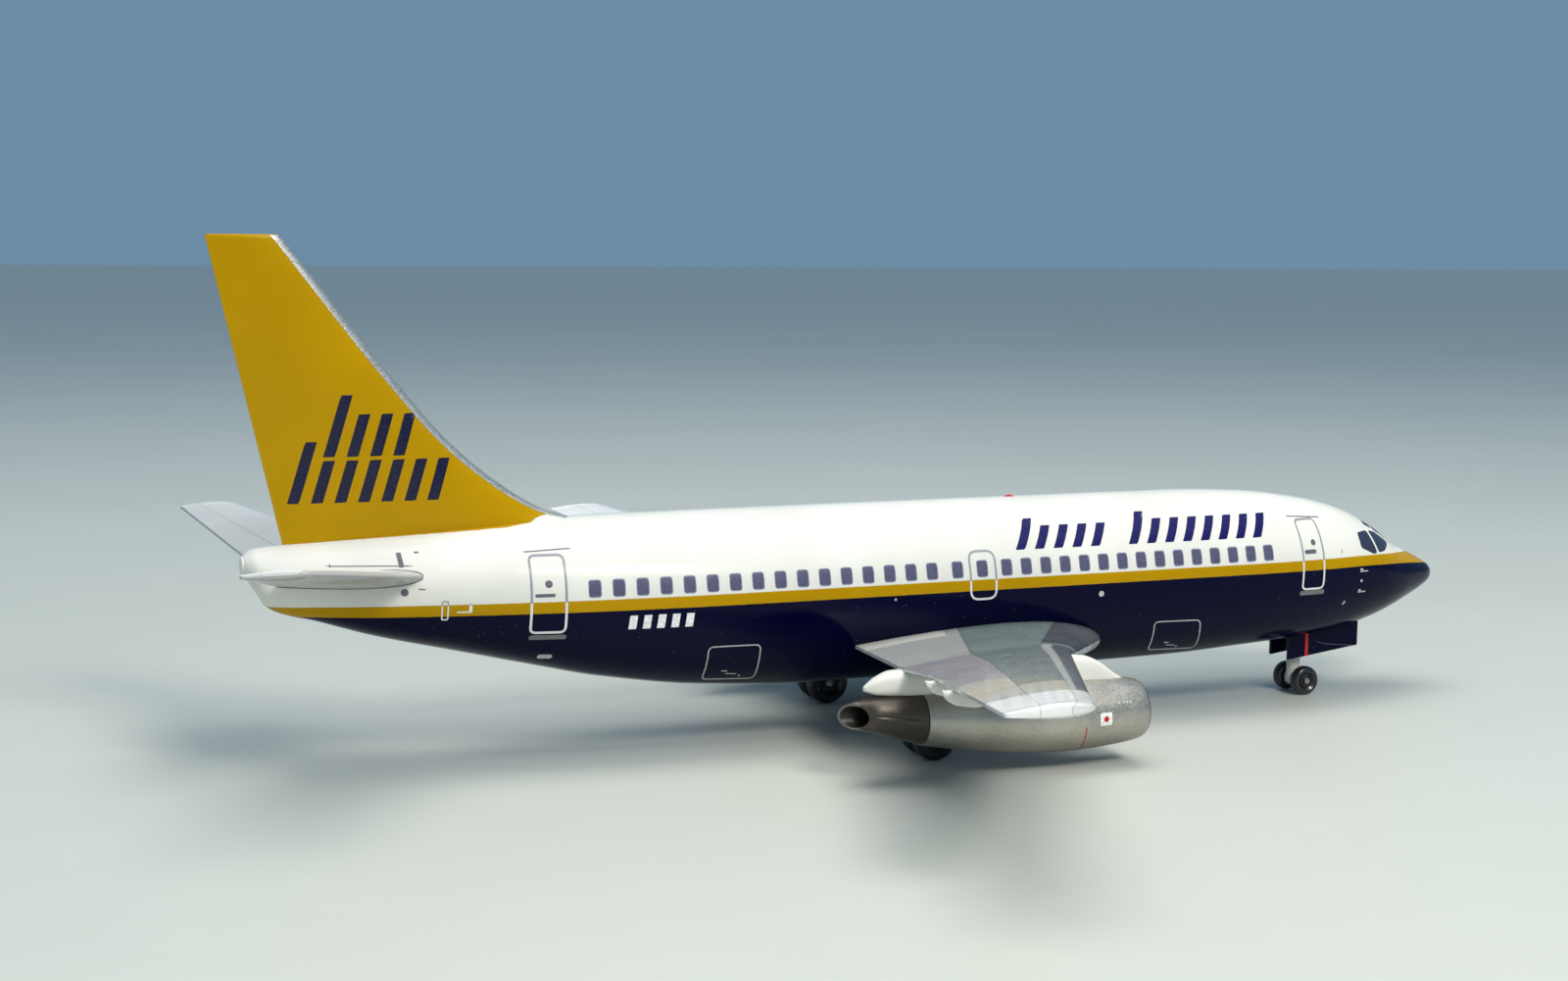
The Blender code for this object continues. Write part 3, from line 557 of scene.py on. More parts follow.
def fin_shape():
    low = np.concatenate([[FIN_ROOT_HEIGHT], np.linspace(12.8, 14.4, 40)])
    high = np.linspace(14.4, HEIGHT - FIN_TOP_ROUND, 60)[1:]
    top = HEIGHT - FIN_TOP_ROUND * (1 - np.sin(np.linspace(0, math.pi / 2, 8)[1:]))
    height = np.concatenate([low, high, top])[:, None]
    return closed_tube(fin_rows(height, *[part[None, :] for part in aerofoil()]))


# %% [markdown]
# ## Wings
# Each wing runs straight between four stands: its root, the engine, the end of the inner flap and
# the tip. Its tip is rounded by letting the last sections shrink along a quarter circle. Two values
# are stored on its points, the chord share and the upper side, because the painter's masks need them.

# %% Wing and tailplane sections

ENGINE_Y = 12.1
WING_SECTIONS = (
    (3.9, 26.35, 42.0, 5.05, 5.6, 2.45),
    (ENGINE_Y, 32.9, 42.9, 6.05, 5.95, 1.3),
    (16.5, 35.15, 43.35, 6.6, 6.5, 1.17),
    (SPAN / 2, 44.85, 49.0, 8.95, 8.92, 0.6),
)
WING_INNER_Y, WING_ROUND = 2.2, 0.3
TAILPLANE_SPAN, TAILPLANE_ROOT_Y, TAILPLANE_INNER_Y = 27.4, 1.5, 0.5
TAILPLANE_ROOT = (65.0, 73.2, 10.35, 10.35, 0.9)
TAILPLANE_TIP = (73.4, LENGTH, 12.75, 12.75, 0.42)
TAILPLANE_ROUND = 0.25


def between(first, second, share):
    return [a + (b - a) * share for a, b in zip(first, second)]


def wing_section(y):
    """Leading and trailing stations, their heights, and thickness, straight between the stands."""
    places, *columns = zip(*WING_SECTIONS)
    return [np.interp(y, places, column) for column in columns]


def tailplane_section(y):
    share = (y - TAILPLANE_ROOT_Y) / (TAILPLANE_SPAN / 2 - TAILPLANE_ROOT_Y)
    return between(TAILPLANE_ROOT, TAILPLANE_TIP, share)


def lifting_grid(section, inner_y, tip_y, tip_round, side, grow=0.0, rows=70):
    """Aerofoil rows out to the tip round, then rows that shrink as the y follows a quarter circle."""
    share, curve, way = [part[None, :] for part in aerofoil()]
    bend = np.linspace(0, math.pi / 2, 7)[1:]
    inboard = np.linspace(inner_y, tip_y - tip_round, rows)
    spans = np.concatenate([inboard, np.full(6, tip_y)])[:, None]
    trim = np.concatenate([np.zeros(rows), 1 - np.cos(bend)])[:, None]
    y = np.concatenate([inboard, tip_y - tip_round * (1 - np.sin(bend))])[:, None]
    front, back, front_height, back_height, thickness = section(spans)
    front, back = front + 1.3 * tip_round * trim - grow, back - 0.5 * tip_round * trim + grow
    half = half_thickness(curve, share, way, thickness * (1 - 0.5 * trim)) + grow * way
    height = front_height + share * (back_height - front_height) + half
    return points_at(along_x(front + share * (back - front)), side * y, height), share, way


def wing_grid(side, grow=0.0):
    return lifting_grid(wing_section, WING_INNER_Y - grow, SPAN / 2, WING_ROUND, side, grow)


def tailplane_grid(side, grow=0.0):
    inner, tip = TAILPLANE_INNER_Y - grow, TAILPLANE_SPAN / 2
    return lifting_grid(tailplane_section, inner, tip, TAILPLANE_ROUND, side, grow, 40)


def lay_lifting(name, made_grid):
    """A wing with its chord share and upper side stored on its points, its two middles last."""
    grid, share, way = made_grid
    made = lay_mesh(name, closed_tube(grid), closed=False)
    for label, values in (("chord", share), ("upper", way)):
        values = np.broadcast_to(values, grid.shape[:2])
        ends = [values[0].mean(), values[-1].mean()]
        layer = made.data.attributes.new(label, "FLOAT", "POINT")
        layer.data.foreach_set("value", np.concatenate([values.ravel(), ends]).astype(np.float32))
    work = bmesh.new()
    work.from_mesh(made.data)
    bmesh.ops.recalc_face_normals(work, faces=work.faces)
    work.to_mesh(made.data)
    work.free()
    return made


# %% [markdown]
# Now the hull can be put together: the fin joined on, and slots taken away for the wing roots, the
# tailplane roots and the nose gear doors, each a hair wider than the part that goes in. That hair
# is the fine dark seam seen where the real wing meets the hull.

# %% Hull with fin and slots

FIT_GAP = 0.03
DOOR_Y, DOOR_THICKNESS, DOOR_TAB = 0.95, 0.22, 0.3
DOOR_FRONT, DOOR_REAR, DOOR_FRONT_FOOT, DOOR_REAR_FOOT = 6.15, 11.25, 2.93, 2.3


def hull_belly(station, y):
    """Height of the hull's lower skin at a distance from its middle plane."""
    crown, middle, keel = hull_heights(station)
    share = np.sqrt(1 - (y / HULL_HALF_WIDTH(np.sqrt(station))) ** 2)
    return middle - (middle - keel) * share


def door_shape(side, grow=0.0, steps=24):
    """An upright plate: its head follows the belly, its foot slopes, its long edges are rounded."""
    station = np.linspace(DOOR_FRONT - grow, DOOR_REAR + grow, steps)
    share = (station - DOOR_FRONT) / (DOOR_REAR - DOOR_FRONT)
    foot = DOOR_FRONT_FOOT + share * (DOOR_REAR_FOOT - DOOR_FRONT_FOOT) - grow
    head = hull_belly(station, DOOR_Y) + DOOR_TAB + grow
    half = DOOR_THICKNESS / 2 + grow
    across = np.array([-1, -0.6, 0.6, 1, 1, -1]) * half
    lift = np.array([0.06, 0, 0, 0.06, 0, 0])
    at_head = np.array([0, 0, 0, 0, 1, 1])
    z = np.where(at_head, head[:, None], foot[:, None] + lift)
    return closed_tube(points_at(along_x(station)[:, None], side * (DOOR_Y + across), z))


hull = lay_mesh("hull_and_fin", hull_shape())
cut(hull, fin_shape(), "UNION")
sockets = [closed_tube(grid(side, FIT_GAP)[0]) for grid in (wing_grid, tailplane_grid) for side in SIDES]
cut(hull, together(*sockets, *[door_shape(side, FIT_GAP) for side in SIDES]), "DIFFERENCE")
place_piece(hull, "airframe", livery, "hull_enamel", ["fuselage_and_fin"])

# %% [markdown]
# ## Prints on the hull
# Windows, door outlines and marks are printed with ink that stands a hundredth of a millimetre
# proud. Each one is a thin plate bent to the hull: an outline drawn in station and height, filled
# by rings that shrink to its middle, and laid on the hull's own formula. The names on the real toy
# are left out, and plain slanted bars stand in their places.

# %% Printed plates

INK = 0.012


def rounded(corners, radius, steps=6):
    """Corner points replaced by short curves: points of a quadratic from side to side."""
    corners = np.asarray(corners, float)
    before, after = np.roll(corners, 1, 0) - corners, np.roll(corners, -1, 0) - corners
    lengths = [np.linalg.norm(way, axis=1, keepdims=True) for way in (before, after)]
    reach = [radius / np.maximum(length, radius * 2) for length in lengths]
    start, end = corners + before * reach[0], corners + after * reach[1]
    t = np.linspace(0, 1, steps)[None, :, None]
    curve = start[:, None] * (1 - t) ** 2 + corners[:, None] * 2 * t * (1 - t) + end[:, None] * t**2
    return curve.reshape(-1, 2)


def evenly(outline, count):
    """The same closed outline with points spaced evenly along it."""
    closed = np.concatenate([outline, outline[:1]])
    length = np.concatenate([[0], np.cumsum(np.linalg.norm(np.diff(closed, axis=0), axis=1))])
    at = np.linspace(0, length[-1], count, endpoint=False)
    return np.stack([np.interp(at, length, closed[:, i]) for i in (0, 1)], -1)


def bend_to_hull(flat, side, lift, by_width=False):
    """Lay (station, height) points on the skin, or (station, y) ones, and lift them off it."""
    station, second = flat[..., 0], flat[..., 1]
    if by_width:
        share = second / HULL_HALF_WIDTH(np.sqrt(station))
        turn = np.arccos(np.clip(share, -1, 1))
    else:
        turn = turn_at_height(station, second)
    step = 1e-3
    aft = on_hull(station + step, turn) - on_hull(station - step, turn)
    up = on_hull(station, turn + step) - on_hull(station, turn - step)
    normal = np.cross(up, aft)
    normal /= np.linalg.norm(normal, axis=-1, keepdims=True)
    return (on_hull(station, turn) + normal * lift) * np.array([1, side, 1])


def plate(outline, side, lay=bend_to_hull, hole=None, lift=INK, rings=4, **how):
    """A thin closed plate: an outline, filled or with a hole, laid twice with ink between."""
    inner = outline * 0 + outline.mean(0) if hole is None else hole
    share = np.linspace(0, 1, rings)[:, None, None]
    flat = outline * (1 - share) + inner * share
    top, foot = lay(flat, side, lift, **how), lay(flat, side, -INK / 2, **how)
    return hoop_of(np.concatenate([top, foot[::-1]]))


def line_round(outline, width, side, count=64, **how):
    """An outline drawn with a line of even width, half to each side of it."""
    points = evenly(outline, count)
    along = np.roll(points, -1, 0) - np.roll(points, 1, 0)
    across = np.stack([-along[:, 1], along[:, 0]], -1)
    across /= np.linalg.norm(across, axis=1, keepdims=True)
    return plate(points + across * width / 2, side, hole=points - across * width / 2, rings=3, **how)


def box(front, rear, foot, head, radius=0.1):
    """A rounded oblong between two stations and two heights."""
    return rounded([(front, foot), (rear, foot), (rear, head), (front, head)], radius)


def bar(start, end, width, count=12):
    """A straight stroke between two points, as an outline."""
    start, end = np.array(start, float), np.array(end, float)
    way = (end - start) / np.linalg.norm(end - start)
    across = np.array([-way[1], way[0]]) * width / 2
    return evenly(np.array([start - across, end - across, end + across, start + across]), count * 2 + 4)


def dot(station, height, radius, count=20):
    turn = round_turns(count)
    return np.stack([station + radius * np.cos(turn), height + radius * np.sin(turn)], -1)


def marks(side, dots=(), bars=(), boxes=()):
    """Plates for dots, for bars (two ends, width) and for filled boxes (edges, corner, points)."""
    shapes = [plate(dot(*row), side) for row in dots]
    shapes += [plate(bar(row[:2], row[2:4], row[4]), side) for row in bars]
    return shapes + [plate(evenly(box(*row[:5]), row[5]), side) for row in boxes]


def ink(name, colour, roughness=0.3):
    """Ink: thin and matt, a little patchy, with the pinholes of a pad print."""
    finish = Finish(name, roughness, specular=0.25)
    thin = finish.mottle(0.12, 3.0)
    lighter = tuple(min(1, part * 1.35 + 0.006) for part in colour)
    finish.say(Base_Color=finish.blend(thin.over(0.56, 0.25), colour, lighter))
    finish.say(Roughness=roughness + (finish.mottle(0.4) - 0.5) * 0.2)
    finish.relief(thin * 0.002 + finish.specks(0.02, 0.15) * -0.003)
    return finish.material


def print_on(name, shapes, finish, slot=None, body="airframe"):
    """One printed piece from many thin plates."""
    return place_piece(lay_mesh(name, together(*shapes)), body, finish, slot)


# %% Windows

WINDOW_Z, WINDOW_WIDTH, WINDOW_HEIGHT = 9.73, 0.64, 0.88
AFT_WINDOWS = 57.12 - 1.30 * np.arange(16)
MIDDLE_WINDOWS = np.array([36.04, 34.49])
FRONT_WINDOWS = 32.94 - 1.256 * np.arange(15)
glass_ink = ink("window_grey_ink", (0.075, 0.075, 0.13), 0.22)
frame_ink = ink("window_edge_ink", (0.16, 0.16, 0.24), 0.3)
panes, rims = [], []
for side in SIDES:
    for station in np.concatenate([AFT_WINDOWS, MIDDLE_WINDOWS, FRONT_WINDOWS]):
        half, foot = WINDOW_WIDTH / 2, WINDOW_Z - WINDOW_HEIGHT / 2
        pane = evenly(box(station - half, station + half, foot, foot + WINDOW_HEIGHT, 0.13), 32)
        panes.append(plate(pane, side))
        rims.append(line_round(pane, 0.06, side, 32, lift=INK * 1.5))
print_on("cabin_windows", panes, glass_ink)
print_on("cabin_window_rims", rims, frame_ink)
print(len(panes), "windows of", WINDOW_WIDTH, "x", WINDOW_HEIGHT, "mm")

# %% [markdown]
# The flight deck glass is printed too: a windscreen on each side of the centre post, a side pane
# with a slanted divider, and a small one above. The windscreens face forwards, where height says
# little about place, so they are drawn in station and width instead.

# %% Flight deck

SIDE_PANES = (
    ((7.98, 10.46), (6.95, 10.50), (6.60, 9.17), (6.95, 9.12), (8.02, 9.58)),
    ((6.76, 10.47), (6.02, 10.30), (5.05, 9.62), (5.75, 9.22), (6.42, 9.15)),
)
TOP_PANES = (
    ((4.42, 0.16), (4.95, 1.85), (5.95, 1.95), (5.55, 0.16)),
    ((6.55, 1.42), (6.72, 2.02), (6.10, 1.93), (5.98, 1.42)),
)
deck_ink = ink("flight_deck_ink", (0.022, 0.030, 0.055), 0.14)
deck = []
for side in SIDES:
    deck += [plate(evenly(rounded(pane, 0.14), 32), side) for pane in SIDE_PANES]
    deck += [plate(evenly(rounded(pane, 0.1), 32), side, by_width=True) for pane in TOP_PANES]
print_on("flight_deck_glass", deck, deck_ink)

# %% [markdown]
# Door outlines are one line each, grey where they cross the white and white where they cross the
# gold and the navy, as on the real print. One finish does both with a mask on height.

# %% Doors, hatches and service marks


def outline_ink():
    finish = Finish("outline_ink", 0.3, specular=0.25)
    on_white = finish.z.over(CHEATLINE_TOP - 0.04)
    worn = finish.mottle(0.15, 3.0).over(0.5, 0.5) * 0.25
    line = finish.blend(on_white, (0.72, 0.74, 0.72), (0.25, 0.25, 0.28))
    finish.say(Base_Color=finish.blend(worn, line, (0.4, 0.4, 0.42)))
    finish.relief(finish.mottle(0.08) * 0.003)
    return finish.material


pale_ink = ink("pale_grey_ink", (0.42, 0.43, 0.42))
dark_ink = ink("dark_grey_ink", (0.10, 0.095, 0.12))
# Two stations, two heights, corner radius, line width and points of each outline.
OUTLINES = (
    (58.64, 60.47, 7.43, 11.50, 0.3, 0.13, 96),
    (11.24, 12.82, 7.36, 11.47, 0.3, 0.12, 96),
    (33.65, 35.25, 8.02, 10.68, 0.5, 0.12, 72),
    (64.75, 65.05, 8.32, 9.32, 0.05, 0.07, 40),
)
OUTLINE_BARS = ((63.55, 8.72, 64.3, 8.72, 0.07), (63.6, 8.7, 63.6, 9.15, 0.16))
SILL_BOXES = ((58.55, 60.5, 7.02, 7.28, 0.1, 40), (11.1, 12.95, 6.98, 7.26, 0.1, 40))
PALE_DOTS = ((26.83, 7.9, 0.17), (39.92, 8.28, 0.07), (8.12, 7.58, 0.09))
PALE_BARS = (
    (7.62, 8.17, 8.28, 8.17, 0.07),
    (7.62, 6.86, 8.28, 6.86, 0.07),
    (8.05, 8.29, 8.28, 8.29, 0.1),
    (8.05, 6.98, 8.28, 6.98, 0.1),
    (9.3, 6.12, 9.16, 6.34, 0.12),
)
PALE_BOXES = ((59.05, 59.8, 5.78, 6.06, 0.13, 24),)
DARK_DOTS = ((59.55, 10.06, 0.2), (11.9, 10.15, 0.18), (66.95, 9.85, 0.2))
DARK_BARS = (
    (60.72, 11.68, 58.12, 11.79, 0.06),
    (13.3, 11.7, 10.6, 11.5, 0.06),
    (9.73, 9.6, 9.8, 9.36, 0.05),
    (70.9, 11.27, 66.4, 11.18, 0.05),
    (70.6, 11.2, 70.6, 11.36, 0.06),
    (67.1, 11.82, 67.02, 11.12, 0.26),
    (66.05, 11.82, 66.3, 11.8, 0.08),
    (65.9, 9.98, 66.25, 10.02, 0.06),
)
DARK_BOXES = ((59.22, 60.3, 9.38, 9.56, 0.09, 30), (11.78, 12.66, 9.5, 9.75, 0.1, 30))
HATCHES = (
    ((50.51, 4.02), (50.7, 6.17), (47.74, 6.15), (47.5, 3.9)),
    ((22.38, 3.92), (22.9, 5.92), (19.74, 5.85), (18.95, 3.78)),
)
HATCH_MARK_PLACES = ((49.6, 4.45), (21.6, 4.3))
HATCH_MARK_BARS = np.array([
    (0, 0.13, -0.35, 0.1, 0.06),
    (-0.3, -0.08, -0.95, -0.13, 0.05),
    (-1.15, -0.2, -1.15, -0.34, 0.07),
])
outlines, sills, pale_marks, dark_marks = [], [], [], []
for side in SIDES:
    for *edges, width, count in OUTLINES:
        outlines.append(line_round(box(*edges), width, side, count))
    outlines += marks(side, bars=OUTLINE_BARS)
    sills += marks(side, boxes=SILL_BOXES)
    pale_marks += marks(side, PALE_DOTS, PALE_BARS, PALE_BOXES)
    dark_marks += marks(side, DARK_DOTS, DARK_BARS, DARK_BOXES)
for corners in HATCHES:
    pale_marks.append(line_round(rounded(corners, 0.3), 0.07, -1, 80))
for place in HATCH_MARK_PLACES:
    pale_marks += marks(-1, bars=HATCH_MARK_BARS + np.array([*place, *place, 0]))
print_on("door_outlines", outlines, outline_ink())
print_on("door_sills", sills, ink("sill_grey_ink", (0.13, 0.135, 0.14)))
print_on("pale_service_marks", pale_marks, pale_ink)
print_on("dark_service_marks", dark_marks, dark_ink)

# %% [markdown]
# The operator's name, the tail name and the registration are replaced. Slanted bars of the same
# height, weight and colour keep the balance of the printing without saying anything.

# %% Plain bars in place of lettering

title_ink = ink("title_navy_ink", (0.006, 0.005, 0.075), 0.22)
white_ink = ink("white_ink", (0.68, 0.69, 0.68))
fin_ink = ink("fin_navy_ink", (0.008, 0.008, 0.03), 0.22)


BAR_POINTS = 28


def slanted_bars(start, count, pitch, foot, tall, width, slant, first_rise=0.0, lay=bend_to_hull):
    """A row of bars on both sides whose heads lean forward, the first one taller by its rise."""
    plates = []
    for side in SIDES:
        for place in range(count):
            rear, rise = start - pitch * place, tall - (first_rise if place else 0)
            feet = np.array([(rear, foot), (rear - width, foot)])
            heads = feet[::-1] + np.array([-rise * slant, rise])
            plates.append(plate(evenly(np.concatenate([feet, heads]), BAR_POINTS), side, lay))
    return plates


titles = slanted_bars(32.2, 5, 1.22, 10.64, 1.6, 0.6, 0.66, 0.38)
titles += slanted_bars(24.8, 8, 1.22, 10.64, 1.7, 0.6, 0.66, 0.38)
print_on("hull_title_bars", titles, title_ink, "navy_enamel")
blocks = slanted_bars(55.3, 5, 0.78, 7.45, 0.75, 0.42, 0.1)
print_on("hull_mark_blocks", blocks, white_ink, "white_enamel")


def lay_on_fin(flat, side, lift):
    """Lay (station, height) points on the fin's side."""
    station, height = flat[..., 0], flat[..., 1]
    front, back, thickness = fin_section(height)
    share = np.clip((station - front) / (back - front), 0, 1)
    half = half_thickness(thickness_curve(share), share, 1, thickness) + lift
    return points_at(along_x(station), side * half, height)


fin_bars = slanted_bars(70.6, 4, 1.2, 16.75, 3.2, 0.6, 0.3, 1.0, lay_on_fin)
fin_bars += slanted_bars(72.45, 7, 1.2, 14.35, 3.2, 0.6, 0.3, 1.0, lay_on_fin)
print_on("fin_title_bars", fin_bars, fin_ink, "navy_enamel")

# %% [markdown]
# The fin's leading edge is bare silver, a strip that wraps round it and runs down the fillet to
# the roof. It is the fin's own section near its front, lifted by the thickness of the paint.

# %% Silver strip on the fin

STRIP_FOOT, STRIP_WIDTH = 12.83, 0.5


def metal_flake(name, colour, roughness, grain=0.05, lively=1.0):
    """Silver lacquer: each flake reflects its own way, so tone and tilt change cell by cell."""
    finish = Finish(name, roughness, metallic=0.85, coat=0.2)
    flake, cloud = finish.grains(grain), finish.mottle(1.6, 3.0)
    bright = tuple(min(1, part * 1.45) for part in colour)
    dark = tuple(part * 0.62 for part in colour)
    share = (flake - 0.5) * (0.55 * lively) + (cloud - 0.5) * (0.9 * lively) + 0.5
    shade = finish.blend(finish.specks(0.06, 0.06) * 0.6, finish.blend(share, dark, bright), DUST)
    finish.say(Base_Color=shade, Roughness=roughness + (flake - 0.5) * 0.16 + (cloud - 0.5) * 0.12)
    finish.relief(flake * (0.0035 * lively) + finish.mottle(0.25, 3.0) * (0.006 * lively))
    return finish, shade


silver_lacquer = metal_flake("silver_lacquer", SILVER, 0.34, 0.05, 0.35)[0].material


def fin_strip():
    """Fin sections at a few shares of the chord round the leading edge, a fixed width back."""
    height = np.linspace(STRIP_FOOT, HEIGHT - 0.05, 130)[:, None]
    front, back, _ = fin_section(height)
    across = np.linspace(-1, 1, 17)[None, :]
    share, way = across**2 * STRIP_WIDTH / (back - front), np.sign(across)
    near_nose = 0.2969 * np.sqrt(share) - 0.126 * share - 0.3516 * share**2
    skin = fin_rows(height, share, 5 * near_nose * way, way)
    level = np.zeros_like(share)
    top = skin + points_at(INK * (1 - abs(across)), INK * way, level)
    foot = skin - points_at(INK, INK * way / 2, level)
    return closed_tube(np.concatenate([top, foot[:, ::-1]], axis=1))


place_piece(lay_mesh("fin_edge_strip", fin_strip()), "airframe", silver_lacquer, "silver_lacquer")


def beacon(station=30.54):
    """A small domed lamp on the roof: oval rows that climb as a quarter circle."""
    turn, climb = np.meshgrid(round_turns(24), np.linspace(0, math.pi / 2, 7)[:-1])
    x = along_x(station + 0.3 * np.cos(climb) * np.cos(turn))
    z = hull_heights(station)[0] - 0.02 + 0.12 * np.sin(climb)
    return closed_tube(points_at(x, 0.17 * np.cos(climb) * np.sin(turn), z))


red_ink = ink("red_ink", (0.45, 0.012, 0.012), 0.25)
print_on("roof_beacon", [beacon()], red_ink)

# %% [markdown]
# ## The wings' paint
# The wing's top has a dark grey-green walkway panel forward of the flap line, paler grey flaps, a
# pale tan aileron, a near-white tip that is a painted highlight, a bright metal leading edge with its
# dark painted shadow line, and a dark patch inboard. All of them are masks on chord share and span.
# Fine grooves part the panels.

# %% Wing finish

FLAP_LINE, SLAT_LINE, SEAM = 0.60, 0.19, 0.03
SLAT_Y, AILERON_Y, AILERON_END_Y, TIP_Y = 11.4, 23.6, 27.5, 31.0


def wing_finish():
    finish = Finish("wing_enamel", 0.3, coat=0.25)
    chord, upper, span = finish.own("chord"), finish.own("upper"), abs(finish.y)
    aft, outboard = chord.over(FLAP_LINE, 0.006), span.over(SLAT_Y, SEAM)
    edge = chord.under(SLAT_LINE, 0.006) * outboard
    zones = (
        (aft, (0.36, 0.37, 0.36)),
        (aft * span.over(ENGINE_Y, SEAM), (0.31, 0.30, 0.33)),
        (aft * span.over(AILERON_Y, SEAM), (0.47, 0.435, 0.37)),
        (span.over(AILERON_END_Y, SEAM), (0.40, 0.385, 0.34)),
        (chord.over(0.66, 0.006) * span.under(6.0, SEAM), (0.62, 0.61, 0.56)),
        (chord.under(0.2, 0.006) * span.under(10.9, SEAM), (0.060, 0.068, 0.085)),
        (edge, (0.50, 0.51, 0.50)),
        (chord.under(0.125, 0.02) * outboard, (0.085, 0.10, 0.13)),
        (1 - upper.over(0.0, 0.05), (0.50, 0.51, 0.49)),
        # Painted highlight: the tip is painted near white for the light its edge catches.
        (span.over(TIP_Y, SEAM), (0.78, 0.78, 0.76)),
    )
    field = (0.150, 0.195, 0.195)
    for zone, colour in zones:
        field = finish.blend(zone, field, colour)
    groove = abs(chord - FLAP_LINE).under(0.004, 0.003)
    groove = groove.at_least(abs(chord - SLAT_LINE).under(0.003, 0.003))
    for y in (SLAT_Y, AILERON_Y, AILERON_END_Y, TIP_Y):
        groove = groove.at_least(abs(span - y).under(0.035, 0.02))
    field = finish.blend(groove * 0.45, field, (0.08, 0.09, 0.09))
    cloud, dust = finish.mottle(3.0, 4.0, (0.5, 1, 1)), finish.specks(0.05, 0.08)
    field = finish.blend((cloud - 0.5) * 0.5 + 0.1, field, (0.30, 0.32, 0.30))
    finish.say(Base_Color=finish.blend(dust * 0.2, field, (0.6, 0.6, 0.55)), Metallic=edge * 0.3)
    finish.say(Roughness=0.26 + (finish.mottle(1.2, 4.0) - 0.5) * 0.2 + edge * 0.06)
    finish.relief(finish.mottle(0.5) * 0.002 - groove * 0.02 + dust * 0.004)
    return finish.material


wing_paint = wing_finish()
for label, side in (("left", 1), ("right", -1)):
    wing = lay_lifting("wing_skin_" + label, wing_grid(side))
    place_piece(wing, "airframe", wing_paint, "wing_enamel", ["wing_" + label])


# %% [markdown]
# Under the flap hangs a canoe that hides its track, and a navigation lamp sits in the leading edge
# of the tip, green on the right and red on the left as on every aircraft.

# %% Track fairings and lamps

TRACK_Y = (18.0, 23.0)
TRACK_LENGTH, TRACK_REACH, TRACK_DEPTH, TRACK_WIDTH = 4.4, 0.6, 1.0, 0.84


def blade_rows(station, foot, top, half_width, y, sides=40):
    """Upright sections whose outline is a circle with its sine and cosine raised to 0.7."""
    turn = (np.arange(sides) + 0.5) * 2 * math.pi / sides
    across, up = [np.sign(part) * np.abs(part) ** 0.7 for part in (np.cos(turn), np.sin(turn))]
    station, foot, top, half_width = [a[:, None] for a in (station, foot, top, half_width)]
    height = (foot + top) / 2 + up * (top - foot) / 2
    return points_at(along_x(station), y + across * half_width, height)


def track_fairing(side, y):
    """A canoe: its fullness is a sine arch of the share along it, raised to 0.6."""
    front, rear, front_height, rear_height, _ = wing_section(y)
    share = 0.5 - 0.49 * np.cos(np.linspace(0.06, math.pi - 0.06, 48))
    station = rear + TRACK_REACH - TRACK_LENGTH * (1 - share)
    fullness = np.sin(math.pi * share**1.3) ** 0.6
    chord_share = np.minimum((station - front) / (rear - front), 1)
    chord_height = front_height + chord_share * (rear_height - front_height)
    drop = TRACK_DEPTH * fullness
    top = chord_height - 0.3 * np.clip((share - 0.75) / 0.25, 0, 1) * drop
    return closed_tube(blade_rows(station, top - drop, top, TRACK_WIDTH / 2 * fullness, side * y))


def tip_lamp(side):
    """A small egg set into the tip's leading edge."""
    turn, rise = np.meshgrid(round_turns(20), np.linspace(-1.35, 1.35, 11))
    y = 34.3 + 0.45 * np.sin(rise)
    front, _, front_height, *_ = wing_section(y)
    x = along_x(front + 0.1) + 0.13 * np.cos(rise) * np.cos(turn)
    return closed_tube(points_at(x, side * y, front_height + 0.11 * np.cos(rise) * np.sin(turn)))


green_ink = ink("green_lamp_ink", (0.01, 0.17, 0.17), 0.15)
for label, side, lamp in (("left", 1, red_ink), ("right", -1, green_ink)):
    canoes = together(*[track_fairing(side, y) for y in TRACK_Y])
    fairing = lay_mesh("flap_track_fairings_" + label, canoes)
    place_piece(fairing, "airframe", white_paint, "white_enamel", ["wing_" + label])
    print_on("tip_lamp_" + label, [tip_lamp(side)], lamp)


# %% Tailplanes


def tailplane_finish():
    """White, with a bright leading edge and a grey under side that is painted shade."""
    finish = Finish("tailplane_enamel", 0.2, specular=ENAMEL_GLOSS)
    chord, upper = finish.own("chord"), finish.own("upper")
    edge = chord.under(0.07, 0.01)
    # Painted shade: the under side is painted a darker grey than the top.
    colour = finish.blend(upper.over(0.0, 0.05), (0.36, 0.36, 0.35), (0.60, 0.615, 0.60))
    colour = finish.blend(edge, colour, (0.42, 0.42, 0.41))
    hinge = abs(chord - 0.7).under(0.006, 0.004)
    return enamel_coat(finish, finish.blend(hinge * 0.5, colour, (0.2, 0.2, 0.2)), 0.2)


tail_paint = tailplane_finish()
for label, side in (("left", 1), ("right", -1)):
    tail = lay_lifting("tailplane_skin_" + label, tailplane_grid(side))
    place_piece(tail, "airframe", tail_paint, "white_enamel", ["tailplane_" + label])

# %% [markdown]
# ## Engine pods
# A pod is a silver cowl with an open intake, a dark bronze exhaust sleeve behind it with a slanted
# mouth, and a white pylon that carries it under the wing. The cowl and the sleeve are profiles
# carried round a circle. Shallow grooves are cut by letting the radius dip in a narrow bell.

# %% Cowl, fan and sleeve

